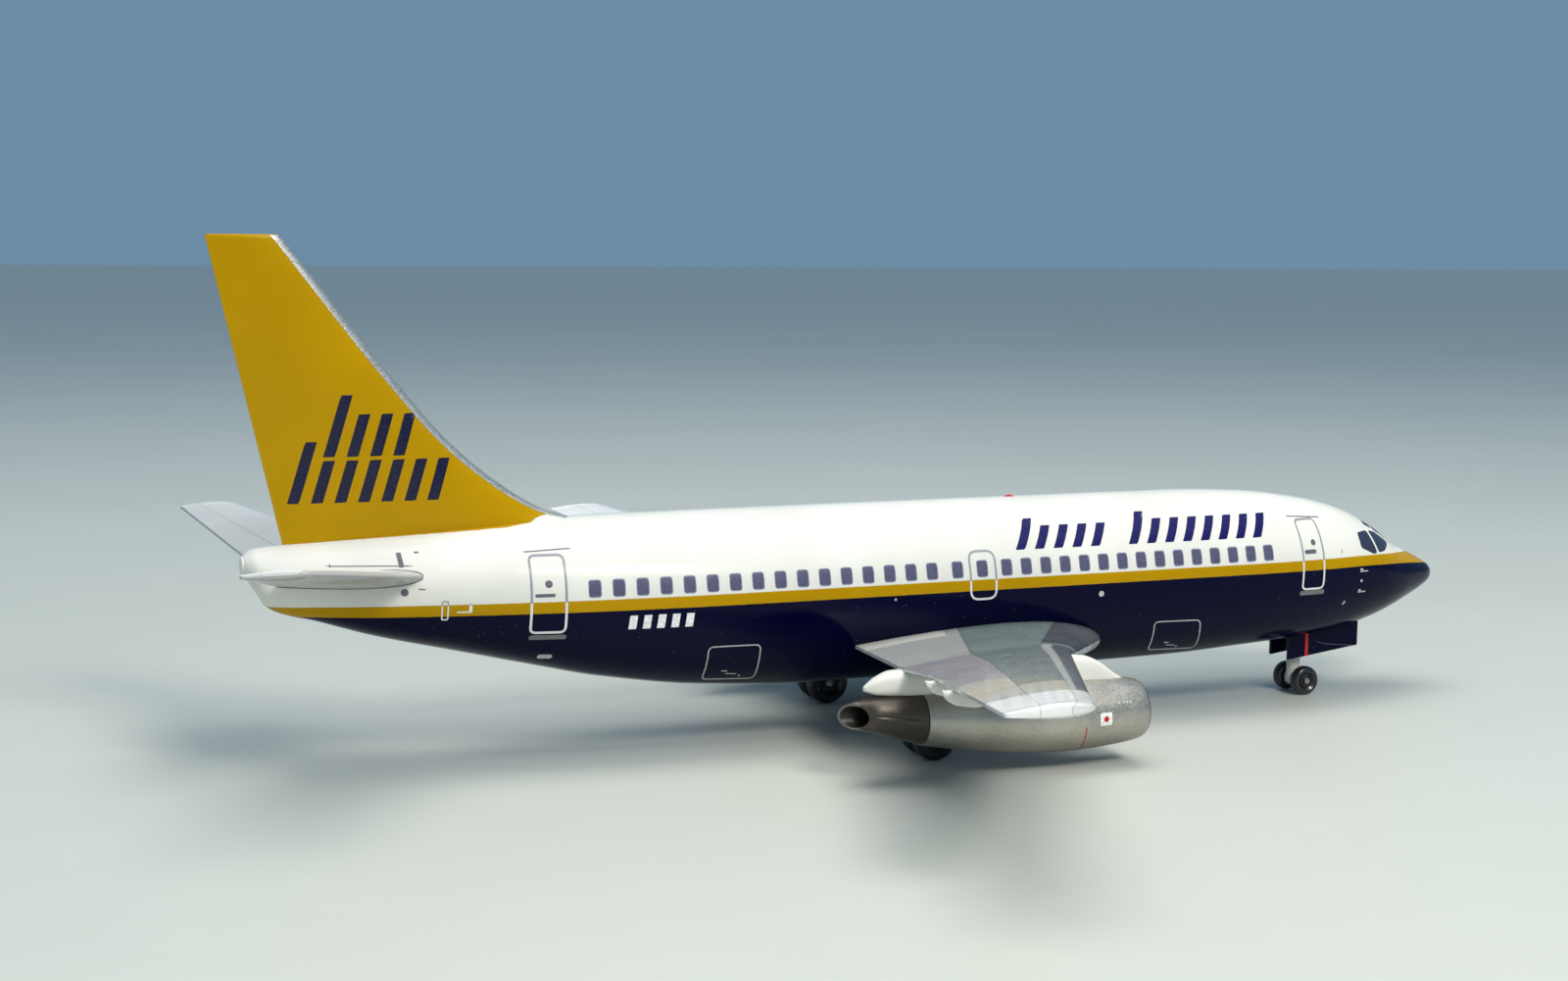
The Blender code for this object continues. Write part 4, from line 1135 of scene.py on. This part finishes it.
COWL_SHAPE = (
    (28.70, 2.88, 1.44),
    (28.86, 2.88, 1.58),
    (29.4, 2.88, 1.72),
    (30.5, 2.87, 1.84),
    (33.0, 2.86, 1.96),
    (36.0, 2.93, 1.92),
    (39.0, 3.10, 1.74),
    (41.9, 3.34, 1.46),
)
SLEEVE_SHAPE = (
    (41.9, 3.34, 1.43),
    (43.3, 3.53, 1.20),
    (44.6, 3.68, 0.94),
    (45.55, 3.64, 0.68),
)
INTAKE_RADIUS, INTAKE_DEPTH, NOZZLE_RADIUS, NOZZLE_DEPTH, NOZZLE_SLANT = 1.26, 2.3, 0.56, 2.0, 0.7
SPIGOT_RADIUS, SPIGOT_LENGTH, PANEL_GAP, FAN_THICKNESS = 0.95, 0.9, 0.05, 0.35
SPINNER_LENGTH, SPINNER_RADIUS, LIP_RADIUS, POD_SIDES = 0.55, 0.42, 0.1, 112
cowl_height, cowl_radius = smooth_columns(COWL_SHAPE)
sleeve_height, sleeve_radius = smooth_columns(SLEEVE_SHAPE)
COWL_FRONT, COWL_REAR = COWL_SHAPE[0][0], COWL_SHAPE[-1][0]


def pod_rows(station, height, radius, side, dip=0.0):
    """Circles round the pod's middle, one for each station, shallower where dip says."""
    station, height, radius = [np.atleast_1d(a)[:, None] for a in (station, height, radius)]
    radius, turn = radius - dip, round_turns(POD_SIDES)[None, :]
    y, z = side * (ENGINE_Y + radius * np.cos(turn)), height + radius * np.sin(turn)
    return points_at(along_x(station), y, z)


def bell(places, middle, width):
    return np.exp(-(((places - middle) / width) ** 2))


def cowl_shape(side):
    """Back wall, duct, rounded lip, outer skin with two panel grooves, and the bore behind."""
    back = COWL_FRONT + INTAKE_DEPTH
    duct = [(back, 0.3), (back, INTAKE_RADIUS + 0.04), (COWL_FRONT + 0.4, INTAKE_RADIUS)]
    lip_turn = np.linspace(-math.pi / 2, math.pi / 2, 15)
    lip = np.stack([1 - np.cos(lip_turn), 0.1 + np.sin(lip_turn)], -1) * LIP_RADIUS
    lip = lip + (COWL_FRONT, INTAKE_RADIUS + LIP_RADIUS)
    near_lip = COWL_FRONT + 0.3 * np.linspace(0.45, 1, 12) ** 2
    skin = np.concatenate([near_lip, np.linspace(COWL_FRONT + 0.4, COWL_REAR, 120)])
    grooves = bell(skin, 31.3, 0.035) + bell(skin, 37.8, 0.035)
    outer = np.stack([skin, cowl_radius(skin) - 0.022 * grooves], -1)
    reach = SPIGOT_RADIUS + FIT_GAP
    bore = [(COWL_REAR, reach), (COWL_REAR - SPIGOT_LENGTH, reach)]
    profile = np.concatenate([duct, lip, outer, bore])
    height = cowl_height(profile[:, 0])
    height[:len(duct) + len(lip)] = COWL_SHAPE[0][1]
    height[-len(bore):] = COWL_SHAPE[-1][1]
    return closed_tube(pod_rows(profile[:, 0], height, profile[:, 1], side))


def fan_shape(side, blades=22):
    """Hub, spinner cone and twisted blades, each blade a thin grid turned about its own length."""
    rear = COWL_FRONT + INTAKE_DEPTH - FIT_GAP
    front = rear - FAN_THICKNESS
    cone, middle = np.linspace(0, 1, 14), COWL_SHAPE[0][1]
    bulge = SPINNER_RADIUS * np.sqrt(cone * (2 - cone)) + 1e-3
    rim, plane = INTAKE_RADIUS - FIT_GAP, rear - 0.1
    disc = [(plane, SPINNER_RADIUS), (plane, rim), (rear, rim), (rear, 0.25)]
    station, radius = np.concatenate([np.stack([front - SPINNER_LENGTH * (1 - cone), bulge], -1), disc]).T
    shapes = [closed_tube(pod_rows(station, middle, radius, side))]
    out = np.linspace(SPINNER_RADIUS - 0.04, rim - 0.02, 8)[:, None]
    loop = round_turns(12)[None, :]
    twist = 0.35 + 0.6 * (out - SPINNER_RADIUS) / (rim - SPINNER_RADIUS)
    along, thick = 0.15 * np.cos(loop), 0.014 * np.sin(loop)
    sway = along * np.sin(twist) + thick * np.cos(twist)
    x = along_x(front + 0.1 + along * np.cos(twist) - thick * np.sin(twist))
    for turn in round_turns(blades):
        y = side * (ENGINE_Y + out * math.cos(turn) - sway * math.sin(turn))
        z = middle + out * math.sin(turn) + sway * math.cos(turn)
        shapes.append(closed_tube(points_at(x, y, z)))
    return together(*shapes)


def sleeve_shape(side):
    """Spigot, tapering skin with a clamshell crease on each side, slanted mouth, and its bore."""
    mouth, height, mouth_radius = SLEEVE_SHAPE[-1]
    skin = np.linspace(COWL_REAR + PANEL_GAP, mouth - 0.02, 70)
    crease = 0.06 * bell(np.sin(round_turns(POD_SIDES))[None, :], 0.05, 0.05)
    fade = np.clip((skin - 42.1) / 0.4, 0, 1)[:, None]
    outer = pod_rows(skin, sleeve_height(skin), sleeve_radius(skin), side, crease * fade)
    lip_turn = np.linspace(0.2, math.pi, 7)
    lip_radius = (mouth_radius + NOZZLE_RADIUS) / 2 + 0.06 * np.cos(lip_turn)
    lip = pod_rows(mouth - 0.02 + 0.03 * np.sin(lip_turn), height, lip_radius, side)
    bore = pod_rows([mouth - 0.1, mouth - NOZZLE_DEPTH], height, NOZZLE_RADIUS, side)
    ends = [COWL_REAR - SPIGOT_LENGTH, COWL_REAR + PANEL_GAP]
    spigot = pod_rows(ends, COWL_SHAPE[-1][1], SPIGOT_RADIUS, side)
    rows = np.concatenate([spigot, outer, lip, bore])
    reach = (rows[..., 1] * side - ENGINE_Y) / mouth_radius
    near_mouth = np.clip((NOSE_X - rows[..., 0] - 44.3) / 1.25, 0, 1) ** 2
    rows[..., 0] += NOZZLE_SLANT * reach * near_mouth
    return closed_tube(rows)


# %% [markdown]
# The cowl's lacquer carries bright flakes, a dark line just inside its lip and painted shade on its
# lower half. The sleeve is a burnt bronze, darker towards the mouth, streaked along its length by the
# casting's polish, and its nozzle's bore is painted nearly black as painted shade.

# %% Pod finishes


def cowl_finish():
    """Flaked silver with painted shade on its lower half, and a dark line round the lip."""
    finish, shade = metal_flake("cowl_silver_lacquer", (0.42, 0.40, 0.35), 0.40, 0.06, 0.7)
    edge = abs(finish.station - COWL_FRONT - 0.14).under(0.05, 0.05)
    # Painted shade: the lower half of the pod is darkened by a mask on height.
    tone = finish.blend(finish.z.under(1.9, 1.4) * 0.55, shade, (0.12, 0.113, 0.092))
    finish.say(Base_Color=finish.blend(edge * 0.75, tone, (0.05, 0.048, 0.045)))
    return finish.material


def bronze_finish():
    finish = Finish("dark_bronze_lacquer", 0.38, metallic=0.6)
    streak, flake = finish.mottle(0.35, 3.0, (0.15, 1, 1)), finish.grains(0.06)
    burnt = finish.station.over(43.9, 2.6)
    colour = finish.blend(streak * 0.6 + flake * 0.35, (0.028, 0.023, 0.018), (0.12, 0.10, 0.082))
    lip = finish.station.over(45.35, 0.1)
    colour = finish.blend(burnt * 0.35, colour, (0.07, 0.055, 0.045))
    colour = finish.blend(lip * 0.5, colour, (0.30, 0.28, 0.25))
    # Painted shade: the nozzle's bore is painted nearly black, the shade inside the hole.
    across, up = abs(finish.y) - ENGINE_Y, finish.z - SLEEVE_SHAPE[-1][1]
    inside = (across * across + up * up).under((NOZZLE_RADIUS + 0.02) ** 2, 0.02)
    bore = inside * finish.station.over(43.0)
    finish.say(Base_Color=finish.blend(bore * 0.85, colour, (0.012, 0.011, 0.01)))
    finish.say(Roughness=0.3 + streak * 0.2)
    finish.relief(streak * 0.008 + flake * 0.003)
    return finish.material


cowl_lacquer, bronze_lacquer = cowl_finish(), bronze_finish()

PYLON_SHAPE = (
    (29.7, 4.20, 4.60, 0.12),
    (30.4, 4.20, 5.02, 0.30),
    (31.3, 4.20, 5.66, 0.42),
    (32.2, 4.20, 6.02, 0.48),
    (33.4, 4.20, 6.12, 0.50),
    (36.5, 4.20, 5.98, 0.52),
    (40.0, 4.20, 5.92, 0.58),
    (42.3, 4.50, 5.96, 0.70),
    (43.4, 4.62, 5.94, 0.66),
    (44.4, 4.72, 5.62, 0.45),
    (45.05, 4.95, 5.20, 0.12),
)


def pylon_shape(side):
    foot, top, half_width = smooth_columns(PYLON_SHAPE)
    station = np.linspace(PYLON_SHAPE[0][0], PYLON_SHAPE[-1][0], 110)
    rows = [curve(station) for curve in (foot, top, half_width)]
    return closed_tube(blade_rows(station, *rows, side * ENGINE_Y))


def lay_on_cowl(flat, side, lift):
    """Lay (station, angle) points on the cowl's outboard face; the angle is in radians."""
    station, turn = flat[..., 0], flat[..., 1]
    radius = cowl_radius(station) + lift
    y, z = side * (ENGINE_Y + radius * np.cos(turn)), cowl_height(station) + radius * np.sin(turn)
    return points_at(along_x(station), y, z)


badges, red_marks, light_marks = [], [], []
for label, side in (("left", 1), ("right", -1)):
    lumps = [
        ("pod_cowl_", "engine_cowl_", cowl_shape, cowl_lacquer, "silver_lacquer"),
        ("pod_fan_", "engine_fan_", fan_shape, bronze_lacquer, "dark_bronze_lacquer"),
        ("pod_sleeve_", "exhaust_sleeve_", sleeve_shape, bronze_lacquer, "dark_bronze_lacquer"),
        ("pod_pylon_", "engine_pylon_", pylon_shape, white_paint, "white_enamel"),
    ]
    for name, node, shape, finish, slot in lumps:
        place_piece(lay_mesh(name + label, shape(side)), "airframe", finish, slot, [node + label])
    badges.append(plate(evenly(box(31.4, 32.12, -0.17, 0.19, 0.02), 24), side, lay_on_cowl))
    spot = (dot(0, 0, 1) * (0.16, 0.08)) + (31.76, 0.01)
    red_marks.append(plate(spot, side, lay_on_cowl, lift=2 * INK))
    red_marks.append(plate(bar((32.95, -0.18), (32.86, -0.92), 0.06), side, lay_on_cowl))
    for station in (30.1, 30.32, 30.54, 30.85):
        light_marks.append(plate(bar((station, 0.44), (station + 0.1, 0.44), 0.03), side, lay_on_cowl))
print_on("pod_white_squares", badges, white_ink)
print_on("pod_red_marks", red_marks, red_ink)
print_on("pod_light_marks", light_marks, white_ink)

# %% [markdown]
# ## Landing gear
# The wheels turn, so the axle, hubs and tyres ride on their own bodies and the legs on the hull's.
# A wheel is a profile carried round its axle. Its numbers come from the measured parts.

# %% Round parts about an axle


def about_axle(profile, middle, sides):
    """Rows of a profile of (distance along the axle, radius) carried round the axle."""
    along, radius = np.asarray(profile, float).T[..., None]
    turn = round_turns(sides)[None, :]
    x, z = middle[0] + radius * np.cos(turn), middle[2] + radius * np.sin(turn)
    return points_at(x, middle[1] + along, z)


def spun(profile, middle, sides=96):
    """A ring-shaped body whose profile closes on itself."""
    return hoop_of(about_axle(profile, middle, sides))


def rod(middle, half, radius, sides=64, bevel=0.06, dimple=0.0):
    """A round bar along Y with rounded ends, and a dimple in each end."""
    bend = np.linspace(0, math.pi / 2, 6)
    corner = np.stack([half - bevel * (1 - np.cos(bend)), radius - bevel * (1 - np.sin(bend))], -1)
    hollow = [(half - dimple * 1.4, radius * 0.1), (half - dimple, radius * 0.4)]
    end = np.concatenate([hollow, corner])
    return closed_tube(about_axle(np.concatenate([end * (-1, 1), end[::-1]]), middle, sides))


def post(x, y, foot, top, radius, bulge=0.0):
    """An upright round post; a bulge at its foot runs out upwards as a bell."""
    z, turn = np.linspace(foot, top, 40)[:, None], round_turns(64)[None, :]
    r = radius + bulge * bell(z, foot, 0.25)
    return closed_tube(points_at(x + r * np.cos(turn), y + r * np.sin(turn), z))


def node_middle(node):
    """Middle and size of a measured part, in millimetres."""
    low, high = [np.array(corner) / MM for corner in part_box(node)]
    return (low + high) / 2, high - low


# %% Rubber, hub plastic and steel


def rubber_finish():
    """Glossy black rubber with a moulded ripple and grey dust rubbed into it."""
    finish = Finish("tyre_rubber", 0.3, coat=0.25)
    dust = finish.mottle(0.3, 5.0)
    grey = dust.over(0.55, 0.5) * 0.2
    finish.say(Base_Color=finish.blend(grey, (0.006, 0.006, 0.009), (0.05, 0.05, 0.055)))
    finish.say(Roughness=0.2 + dust * 0.22)
    finish.relief(finish.mottle(0.07, 3.0) * 0.004 + dust * 0.006)
    return finish.material


def moulded(name, colour, roughness, metallic=0.0, lines=(1, 1, 1)):
    """Moulded plastic or turned steel: fine mottle, stretched along the tool's way."""
    finish = Finish(name, roughness, metallic=metallic)
    grain = finish.mottle(0.06, 3.0, lines)
    lighter = tuple(part * 1.5 + 0.01 for part in colour)
    finish.say(Base_Color=finish.blend(grain.over(0.5, 0.4) * 0.5, colour, lighter))
    finish.say(Roughness=roughness + (finish.mottle(0.3) - 0.5) * 0.2)
    finish.relief(grain * 0.004)
    return finish.material


rubber, hub_plastic = rubber_finish(), moulded("hub_plastic", (0.022, 0.022, 0.024), 0.3)
axle_steel = moulded("axle_steel", (0.30, 0.29, 0.27), 0.35, 0.9, (4, 0.3, 4))


def tyre_profile(diameter, width, bore):
    """Half a section from bead to tread: a super-ellipse with two shallow tread grooves."""
    turn = np.linspace(-math.pi / 2, math.pi / 2, 41)[1:-1]
    up = np.abs(np.cos(turn)) ** 0.55
    along = np.sign(np.sin(turn)) * np.abs(np.sin(turn)) ** 0.75 * width / 2
    radius = bore + (diameter / 2 - bore) * (0.1 + 0.9 * up)
    radius = radius - 0.02 * (bell(along, width * 0.17, 0.018) + bell(along, -width * 0.17, 0.018))
    beads = [(-width * 0.36, bore), (width * 0.36, bore)]
    return np.concatenate([beads[:1], np.stack([along, radius], -1), beads[1:]])


def hub_profile(rim, width, bore):
    """A dished hub: rolled rim, a deep dish and a boss round the axle."""
    half = width / 2
    side = [(0.86, bore), (0.9, bore + 0.03), (0.88, rim * 0.55), (0.55, rim * 0.66), (0.55, rim * 0.86)]
    side += [(0.8, rim * 0.93), (0.84, rim * 0.97), (0.8, rim)]
    side = np.array([(half * along, radius) for along, radius in side])
    return np.concatenate([side, side[::-1] * (-1, 1)])


NOSE_RIM, MAIN_RIM, NOSE_AXLE_RADIUS, MAIN_AXLE_RADIUS = 0.44, 0.62, 0.17, 0.22
WHEELSETS = (
    ("nose", ("left", "right"), NOSE_RIM, NOSE_AXLE_RADIUS),
    ("main_left", ("inner", "outer"), MAIN_RIM, MAIN_AXLE_RADIUS),
    ("main_right", ("inner", "outer"), MAIN_RIM, MAIN_AXLE_RADIUS),
)
for name, labels, rim, axle_radius in WHEELSETS:
    body = name + "_wheelset"
    middle, size = node_middle(name + "_axle")
    axle = lay_mesh(name + "_turned_axle", rod(middle, size[1] / 2, axle_radius, 48, 0.03, 0.03))
    place_piece(axle, body, axle_steel, "axle_steel", [name + "_axle"])
    for label in labels:
        centre, tyre_size = node_middle(name + "_tyre_" + label)
        centre[0], centre[2] = middle[0], middle[2]
        rubber_section = tyre_profile(2 * middle[2], tyre_size[1], rim + FIT_GAP)
        tyre = lay_mesh(f"{name}_rubber_{label}", spun(rubber_section, centre))
        place_piece(tyre, body, rubber, "tyre_rubber", [f"{name}_tyre_{label}"])
        hub_section = hub_profile(rim, tyre_size[1], axle_radius + FIT_GAP)
        hub = lay_mesh(f"{name}_dished_hub_{label}", spun(hub_section, centre, 64))
        place_piece(hub, body, hub_plastic, "wheel_plastic", [f"{name}_hub_{label}"])

# %% [markdown]
# A leg is a post that sinks into the hull or the wing, with a cross tube at its foot in which the
# axle turns. The tube is joined to the post and bored a little wider than the axle.

# %% Legs and nose gear doors

RUNNING_GAP = 0.04
# Wheelset, post radius, tube radius, half its length, the post's shift forward, bulge, axle radius.
LEGS = (
    ("nose_gear_leg", "nose", 0.42, 0.52, 0.50, -0.2, 0.06, NOSE_AXLE_RADIUS),
    ("main_gear_leg_left", "main_left", 0.27, 0.5, 0.28, 0.0, 0.0, MAIN_AXLE_RADIUS),
    ("main_gear_leg_right", "main_right", 0.27, 0.5, 0.28, 0.0, 0.0, MAIN_AXLE_RADIUS),
)
for name, wheelset, radius, housing, half, shift, bulge, axle_radius in LEGS:
    middle, _ = node_middle(wheelset + "_axle")
    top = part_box(name)[1].z / MM
    shape = post(middle[0] + shift, middle[1], middle[2], top, radius, bulge)
    leg = lay_mesh(name + "_strut", shape)
    cut(leg, rod(middle, half, housing, 72, 0.07), "UNION")
    cut(leg, rod(middle, half * 2, axle_radius + RUNNING_GAP, 48, 0.01), "DIFFERENCE")
    place_piece(leg, "airframe", gear_paint, "gear_enamel", [name])

STRIPE_FRONT, STRIPE_REAR, STRIPE_MIDDLE = 9.85, 10.06, 9.95


def lay_on_door(flat, side, lift):
    """Lay (station, height) points on the door's outer face."""
    y = side * (DOOR_Y + DOOR_THICKNESS / 2 + lift)
    return points_at(along_x(flat[..., 0]), y, flat[..., 1])


stripes, door_lines = [], []
slope = (DOOR_FRONT_FOOT - DOOR_REAR_FOOT) / (DOOR_REAR - DOOR_FRONT)
foot = DOOR_REAR_FOOT + slope * (DOOR_REAR - STRIPE_MIDDLE)
head = float(hull_belly(np.array(STRIPE_MIDDLE), DOOR_Y + DOOR_THICKNESS / 2))
edges = (STRIPE_REAR, STRIPE_FRONT, STRIPE_FRONT, STRIPE_REAR)
stripe = evenly(np.stack([edges, (foot, foot, head, head)], -1), 32)
arc = np.linspace(0, 1, 9)
hinge_line = np.stack([9.2 - 2.7 * arc, 3.35 - 0.42 * arc**0.6], -1)
for label, side in (("left", 1), ("right", -1)):
    door = lay_mesh("nose_door_" + label, door_shape(side))
    place_piece(door, "airframe", navy_paint, "navy_enamel", ["nose_gear_door_" + label])
    stripes.append(plate(stripe, side, lay_on_door))
    for start, end in zip(hinge_line, hinge_line[1:]):
        door_lines.append(plate(bar(start, end, 0.03, 4), side, lay_on_door))
print_on("door_red_stripes", stripes, red_ink)
print_on("door_hinge_lines", door_lines, dark_ink)

# %% [markdown]
# ## Stage, light and camera
# A pale table top, one wide soft light overhead, a softer one from the camera's side, and two thin
# tubes whose reflections draw the fine bright lines along the roof.

# %% Table top and light


def table_finish():
    finish = Finish("pale_table_top", 0.42)
    cloud = (finish.mottle(40.0, 4.0) * 0.7 + finish.mottle(4.0, 3.0) * 0.3).over(0.5, 0.6)
    finish.say(Base_Color=finish.blend(cloud, (0.515, 0.535, 0.475), (0.57, 0.575, 0.525)))
    finish.relief(finish.mottle(1.5, 4.0) * 0.02)
    return finish.material


steps = np.linspace(-2500, 2500, 9)
floor_grid = points_at(steps[:, None], steps[None, :], -0.01)
floor_faces = [face[::-1] for face in grid_faces(9, 9)]
floor = lay_mesh("table_top", (floor_grid.reshape(-1, 3), floor_faces), closed=False)
floor.data.materials.append(table_finish())

world = bpy.data.worlds.new("soft_room")
bpy.context.scene.world = world
world.use_nodes = True
background = world.node_tree.nodes["Background"].inputs
background["Color"].default_value, background["Strength"].default_value = (0.20, 0.35, 0.515, 1), 0.75
# Name, place, height of the point it faces, width, depth, watts and colour.
SOFT_LIGHTS = (
    ("key_light", (30, -185, 165), 0, 70, 60, 0.37, (1.0, 0.965, 0.88)),
    ("overhead_light", (10, 30, 330), 0, 260, 160, 0.56, (1.0, 0.97, 0.90)),
    ("front_fill", (-60, -320, 170), 8, 300, 160, 0.10, (1.0, 0.95, 0.86)),
    ("tube_light_0", (-40, -150, 300), 12, 420, 6, 0.13, (1.0, 0.98, 0.94)),
    ("tube_light_1", (-40, -60, 300), 12, 420, 6, 0.13, (1.0, 0.98, 0.94)),
)


def lay_light(name, kind, watts, colour):
    lamp = bpy.data.lights.new(name, kind)
    lamp.energy, lamp.color = watts, colour
    made = bpy.data.objects.new(name, lamp)
    bpy.context.scene.collection.objects.link(made)
    return made


for name, place, target_height, width, depth, watts, colour in SOFT_LIGHTS:
    lamp = lay_light(name, "AREA", watts, colour)
    lamp.data.shape, lamp.data.size, lamp.data.size_y = "RECTANGLE", width * MM, depth * MM
    lamp.location = Vector(place) * MM
    way = Vector((0, 0, target_height)) * MM - lamp.location
    lamp.rotation_euler = way.to_track_quat("-Z", "Y").to_euler()
daylight = lay_light("even_daylight", "SUN", 0.45, (1.0, 0.97, 0.90))
daylight.data.angle = math.radians(60)
daylight.rotation_euler = (math.radians(12), math.radians(8), 0)
bpy.context.scene.view_settings.view_transform = "Standard"

# %% [markdown]
# The camera stands low behind the right wing and looks a little down. Its place follows from two
# angles and a distance to a point on the hull.

# %% Camera

AZIMUTH, ELEVATION, ROLL, DISTANCE = -21.42, 6.64, 0.4, 118.69
TARGET, LENS, SENSOR = Vector((-6.55, 0.0, 14.05)), 48.19, 36.0
azimuth, elevation, roll = [math.radians(angle) for angle in (AZIMUTH, ELEVATION, ROLL)]
level = math.cos(elevation)
back = Vector((math.sin(azimuth) * level, -math.cos(azimuth) * level, math.sin(elevation)))
right = (-back).cross(Vector((0, 0, 1))).normalized()
up = right.cross(-back)
right, up = right * math.cos(roll) + up * math.sin(roll), up * math.cos(roll) - right * math.sin(roll)
camera = bpy.data.objects.new("camera", bpy.data.cameras.new("camera"))
bpy.context.scene.collection.objects.link(camera)
turned = Matrix((right, up, back)).transposed().to_4x4()
camera.matrix_world = Matrix.Translation((TARGET + back * DISTANCE) * MM) @ turned
camera.data.lens, camera.data.sensor_width, camera.data.clip_start = LENS, SENSOR, 0.001
bpy.context.scene.camera = camera
print("the camera is at", [round(part / MM, 1) for part in camera.location], "mm")
